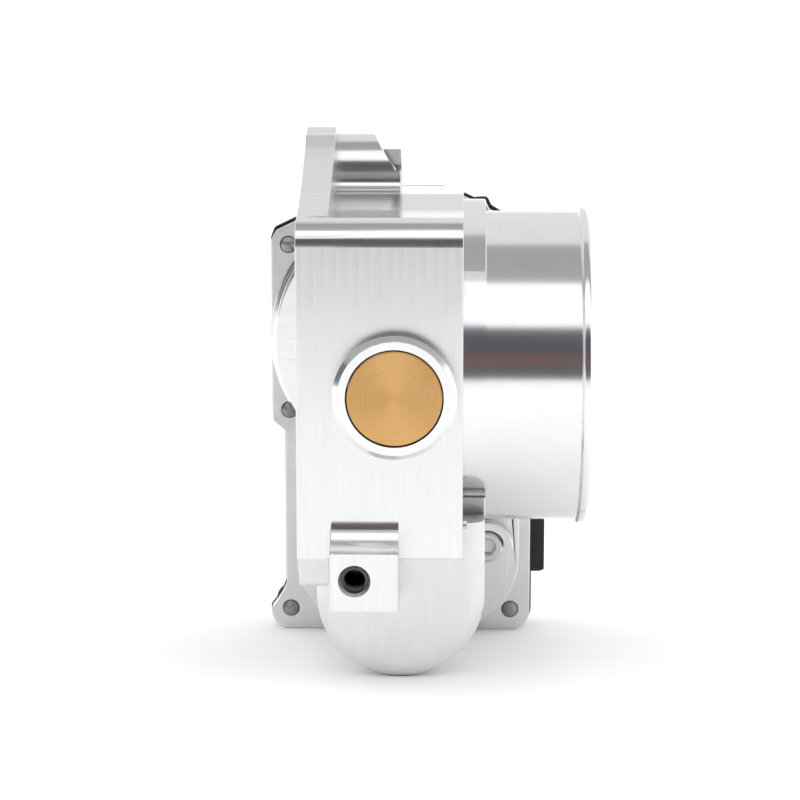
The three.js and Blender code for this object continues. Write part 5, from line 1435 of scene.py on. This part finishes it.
    def build(self) -> None:
        """Builds the gears, the spring and their small parts."""
        towards = math.atan2(MOTOR_AXIS[1] - IDLER_AXIS[1], MOTOR_AXIS[0] - IDLER_AXIS[0])
        self.sector().place("sector_gear", Body.THROTTLE, "natural_plastic", (NATURAL_PA46,))
        self.intermediate().place("intermediate_gear", Body.IDLER, "natural_plastic", (NATURAL_PA46,))
        pinion = self.wheel("brass_pinion", self.pinion_teeth,
                            towards + math.pi + math.pi / self.pinion_teeth,
                            MOTOR_AXIS, self.large_low - 0.6, self.large_high + 0.6)
        pinion.cut(Part.rod("bore", 1.8, Axis.Y, 60, 70, MOTOR_AXIS, 40)).tidy()
        pinion.place("motor_pinion", Body.ROTOR, "brass", (BRASS,))
        low, high = 61.3, 65.3
        nut = Part.turned("flanged_nut", [(0, low), (6.5, low), (6.5, high), (0, high)], Axis.Y, sides=6)
        cone = Part.turned("cone", [(0, low - 0.5), (5.9, low - 0.01), (6.6, low + 0.5), (6.6, high - 0.5),
                                    (5.9, high + 0.01), (0, high + 0.5)], Axis.Y, sides=72)
        nut.combine("INTERSECT", [cone]).cut(Part.rod("bore", 4.3, Axis.Y, 60, 67, sides=64)).tidy()
        nut.place("gear_nut", Body.THROTTLE, "stainless_steel", (ZINC_STEEL,))
        magnet = Part.turned("ring_magnet", rounded([(1.5, 65.7, 0.1), (5, 65.7, 0.25), (5, 67.5, 0.25),
                                                     (1.5, 67.5, 0.1)]), Axis.Y, sides=72)
        magnet.place("position_magnet", Body.THROTTLE, "ferrite", (FERRITE,))
        bush = Part.turned("spring_guide_bush", rounded([(4.3, 47.5, 0.2), (8, 47.5, 0.4), (8, 50.7, 0.4),
                                                         (4.3, 50.7, 0.2)]), Axis.Y, sides=72)
        bush.place("spring_bush", Body.THROTTLE, "natural_plastic", (NATURAL_PA46,))
        for name, node, radius, low, high, at in (
                ("stop_dowel", "stop_pin", 1.2, 47.8, 53.3, (28.44, 2.91)),
                ("gear_axle", "intermediate_pin", 2.5, 43.6, 70.6, IDLER_AXIS)):
            pin = Part.turned(name, rounded([(0, low, 0), (radius, low, 0.35), (radius, high, 0.35),
                                             (0, high, 0)], closed=False), Axis.Y, at, 48)
            pin.place(node, Body.HOUSING, "stainless_steel", (BEARING_STEEL,))
        self.spring().place("return_spring", Body.HOUSING, "spring_steel", (SPRING_STEEL,))


# ---------------------------------------------------------------- motor and sensor
@dataclass
class Motor:
    """Brushed motor in the barrel: can, end plate, magnets, armature and terminals."""

    radius: float = 14.0
    front: float = -21.0
    rear: float = 50.6
    shaft: float = 1.5
    core: float = 9.6
    core_low: float = -6.0
    core_high: float = 29.0
    slots: int = 7

    def ring(self, name: str, inner: float, outer: float, low: float, high: float, edge: float) -> Part:
        """Returns a ring about the motor shaft with rounded edges."""
        return Part.turned(name, rounded([(inner, low, edge), (outer, low, edge), (outer, high, edge),
                                          (inner, high, edge)]), Axis.Y, MOTOR_AXIS, 96)

    def build(self) -> None:
        """Builds the motor from its can inwards."""
        x, z = MOTOR_AXIS
        r, inner = self.radius, self.radius - 1.1
        can = Part.turned("drawn_motor_can", rounded([
            (4.1, self.front, 0.3), (r, self.front, 1.5), (r, self.rear, 0.1), (inner, self.rear, 0.1),
            (inner, self.front + 2, 0.8), (4.1, self.front + 2, 0.3)]), Axis.Y, MOTOR_AXIS, 96)
        can.place("motor_can", Body.HOUSING, "stainless_steel", (ZINC_STEEL,))
        low, high = 50.9, 52.5
        plate = self.ring("motor_end_plate", 4.1, r + 2, low, high, 0.15)
        ears = [Part.rod("ear", 3.4, Axis.Y, low, high, polar(MOTOR_AXIS, 19, a), 48) for a in (60, 240)]
        holes = [Part.rod("hole", 1.8, Axis.Y, low - 1, high + 1, polar(MOTOR_AXIS, 19, a), 32)
                 for a in (60, 240)]
        places = [(x - 5, z - r + 4.2), (x + 5, z - r + 4.2)]
        slots = [Part.block("slot", (u - 2.3, low - 1, v - 0.7), (u + 2.3, high + 1, v + 0.7))
                 for u, v in places]
        middle = Part.rod("middle", 4.1, Axis.Y, low - 1, high + 1, MOTOR_AXIS)
        plate.join(*ears).cut(*holes, *slots, middle).tidy()
        plate.place("motor_flange", Body.HOUSING, "stainless_steel", (ZINC_STEEL,))
        for where, low in (("front", self.front), ("rear", 50.3)):
            bush = self.ring(f"{where}_sintered_bush", 1.8, 3.8, low, low + 2.4, 0.2)
            bush.place(f"{where}_motor_bush", Body.HOUSING, "bronze", (BRASS,))
        for i, low in enumerate((x - 20, x + 3)):
            magnet = self.ring(f"ferrite_segment_{i + 1}", self.core + 0.8, inner - 0.3, self.core_low - 3,
                               self.core_high + 3, 0.2)
            half = Part.block("side", (low, -20, z - 20), (low + 17, 45, z + 20))
            magnet.combine("INTERSECT", [half]).tidy()
            magnet.place(f"motor_magnet_{i + 1}", Body.HOUSING, "ferrite", (FERRITE,))
        core = self.ring("wound_armature", 1.8, self.core, self.core_low, self.core_high, 0.2)
        step = 360 / self.slots
        core.cut(*(Part.rod("slot", 1.5, Axis.Y, self.core_low - 1, self.core_high + 1,
                            polar(MOTOR_AXIS, self.core - 1, step * i), 24)
                   for i in range(self.slots))).tidy()
        core.place("armature_core", Body.ROTOR, "copper", (COPPER,))
        bars = self.ring("commutator_bars", 1.8, 4.6, self.core_high + 3, self.core_high + 11, 0.2)
        bars.cut(*(Part.rod("groove", 0.25, Axis.Y, self.core_high, self.core_high + 10.2,
                            polar(MOTOR_AXIS, 4.6, step * i), 12) for i in range(self.slots))).tidy()
        bars.place("commutator", Body.ROTOR, "copper", (COPPER,))
        spindle = Part.turned("motor_spindle", rounded([(0, -20.6, 0), (self.shaft, -20.6, 0.3),
                                                        (self.shaft, 68.0, 0.3), (0, 68.0, 0)], closed=False),
                              Axis.Y, MOTOR_AXIS, 48)
        spindle.place("motor_shaft", Body.ROTOR, "stainless_steel", (BEARING_STEEL,))
        self.wave_washer().place("motor_wave_washer", Body.HOUSING, "spring_steel", (SPRING_STEEL,))
        for i, (u, v) in enumerate(places):
            tab = Part.block(f"motor_tab_{i + 1}", (u - 2, 47.9, v - 0.4), (u + 2, 59.9, v + 0.4), 0.12)
            tab.cut(Part.rod("eye", 0.8, Axis.Z, v - 2, v + 2, (u, 57.5), 32)).tidy()
            tab.place(f"motor_terminal_{i + 1}", Body.HOUSING, "copper", (COPPER,))

    def wave_washer(self) -> Part:
        """Returns the three-wave spring washer in front of the can."""
        inner, outer, thick = self.radius - 5, self.radius - 1.8, 0.25
        rings = []
        for i in range(144):
            angle = 2 * math.pi * i / 144
            y = self.front - 2.0 + 0.8 * math.cos(3 * angle)
            u, v = math.cos(angle), math.sin(angle)
            rings.append([Vector((MOTOR_AXIS[0] + r * u, y + side * thick, MOTOR_AXIS[1] + r * v))
                          for r, side in ((inner, -1), (outer, -1), (outer, 1), (inner, 1))])
        return Part.from_rings("three_wave_washer", rings, closed=True)


@dataclass
class Sensor:
    """Position sensor board over the magnet, with its chip."""

    low: float = 69.1
    thickness: float = 1.5

    def build(self) -> None:
        """Builds the board and the chip."""
        high = self.low + self.thickness
        outline = rounded([(-15, -15, 1.5), (15, -15, 1.5), (15, 12, 1.5), (-15, 12, 1.5)])
        board = Part.prism("sensor_circuit_board", outline, Axis.Y, self.low, high, (0.1, 0.1))
        board.cut(*(Part.rod("via", 0.8, Axis.Y, self.low - 1, high + 1, at, 24)
                    for at in ((-12.5, 9.5), (12.5, 9.5), (-12.5, -12.5), (12.5, -12.5)))).tidy()
        board.place("sensor_board", Body.HOUSING, "circuit_board", (SOLDER_MASK,))
        top = self.low - 0.1
        chip = Part.block("hall_sensor_chip", (-3, top - 0.8, -2.5), (3, top, 2.5), 0.12)
        chip.cut(Part.rod("pin_one_mark", 0.35, Axis.Y, top - 1.5, top - 0.7, (-2.2, 1.7), 20)).tidy()
        chip.place("sensor_chip", Body.HOUSING, "black_plastic", (BLACK_PA66,))


# ---------------------------------------------------------------- studio
@dataclass
class Studio:
    """Pale sweep, soft light and the camera."""

    eye: Sequence[float] = (14.8, -594.0, 95.1)
    aim: Sequence[float] = (0.07, 0.0, -8.93)
    lens: float = 109.2
    sensor: float = 36.0
    plate_foot: Point = (50.0, -81.0)
    barrel_foot: Point = (-31.5, -70.4)
    floor_front: float = -496.0
    floor_back: float = 1600.0
    floor_side: float = 900.0

    def camera(self) -> None:
        """Places the camera and makes it the scene's own."""
        lens = bpy.data.cameras.new("camera")
        lens.lens = self.lens
        lens.sensor_width = self.sensor
        camera = bpy.data.objects.new("camera", lens)
        camera.location = CROSSING + Vector(self.eye) * MM
        way = Vector(self.aim) - Vector(self.eye)
        camera.rotation_euler = way.to_track_quat("-Z", "Y").to_euler()
        bpy.context.scene.collection.objects.link(camera)
        bpy.context.scene.camera = camera

    def floor_height(self, y: float) -> float:
        """Returns the height of the floor at a place along Y, under the part's two feet."""
        (y0, z0), (y1, z1) = self.barrel_foot, self.plate_foot
        return z0 + (y - y0) * (z1 - z0) / (y1 - y0)

    def staged(self, name: str, corners: Sequence[Sequence[float]], material: bpy.types.Material
               ) -> bpy.types.Object:
        """Adds a flat sheet that isn't part of the object.

        Args:
            name: name of the sheet.
            corners: its four corners in millimetres.
            material: what it is made of.

        Returns:
            The sheet.
        """
        mesh = bpy.data.meshes.new(name)
        mesh.from_pydata([CROSSING + Vector(c) * MM for c in corners], [], [range(len(corners))])
        mesh.materials.append(material)
        sheet = bpy.data.objects.new(name, mesh)
        bpy.context.scene.collection.objects.link(sheet)
        return sheet

    def floor(self) -> None:
        """Lays the pale floor under the two feet that the part stands on."""
        s = self.floor_side
        corners = [(-s, self.floor_front), (s, self.floor_front), (s, self.floor_back), (-s, self.floor_back)]
        self.staged("floor", [(x, y, self.floor_height(y)) for x, y in corners], WHITE_SWEEP.material())

    def card(self, name: str, corners: Sequence[Sequence[float]], shade: float,
             tint: Sequence[float] = (1.0, 1.0, 1.0)) -> None:
        """Hangs a card that only shows in polished metal.

        Args:
            name: name of the card.
            corners: its corners in millimetres.
            shade: how bright it is, where 1 is the white of the sweep.
            tint: red, green and blue shares of that brightness.
        """
        material = bpy.data.materials.new(name)
        material.use_nodes = True
        tree = material.node_tree
        tree.nodes.clear()
        glow = add_node(tree, "Emission", {"Color": (*(shade * t for t in tint), 1.0), "Strength": 1.0})
        add_node(tree, "OutputMaterial", {"Surface": glow.outputs[0]})
        sheet = self.staged(name, corners, material)
        sheet.visible_camera = False
        sheet.visible_diffuse = False
        sheet.visible_shadow = False

    def light(self) -> None:
        """Sets the white surround, the dark room in front and the grey ceiling."""
        world = bpy.data.worlds.new("white_tent")
        bpy.context.scene.world = world
        world.use_nodes = True
        shade = next(n for n in world.node_tree.nodes if n.type == "BACKGROUND")
        shade.inputs["Color"].default_value = (1.0, 1.0, 1.0, 1.0)
        shade.inputs["Strength"].default_value = 1.32
        self.card("dark_room", [(-1400, -1200, -60), (1400, -1200, -60), (1400, -1200, 874),
                                (-1400, -1200, 874)], 0.1, (0.92, 0.98, 1.12))
        self.card("brown_shelf", [(-200, -1190, 150), (1400, -1190, 150), (1400, -1190, 360),
                                  (-200, -1190, 360)], 0.13, (1.35, 0.85, 0.8))
        self.card("dark_side", [(-1500, -1100, 80), (-1500, 100, 80), (-1500, 100, 900),
                                (-1500, -1100, 900)], 0.12)
        self.card("grey_ceiling", [(-1400, -256, 700), (1400, -256, 700), (1400, 206, 700),
                                   (-1400, 206, 700)], 0.42)
        self.card("light_ceiling", [(-1400, 206, 700), (1400, 206, 700), (1400, 4000, 700),
                                    (-1400, 4000, 700)], 0.86)
        bpy.context.scene.view_settings.view_transform = "Standard"

    def build(self) -> None:
        """Builds the whole studio."""
        self.camera()
        self.floor()
        self.light()


def main() -> None:
    """Builds the sub-assemblies in order and reports each."""
    logging.basicConfig(level=logging.INFO, format="%(message)s")
    for assembly in (Housing(), GearCase(), Cover(), ShaftEnds(), Throttle(), GearTrain(), Motor(),
                     Sensor(), Fasteners(), Studio()):
        assembly.build()
        LOG.info("%s done", type(assembly).__name__)


if __name__ == "__main__":
    main()
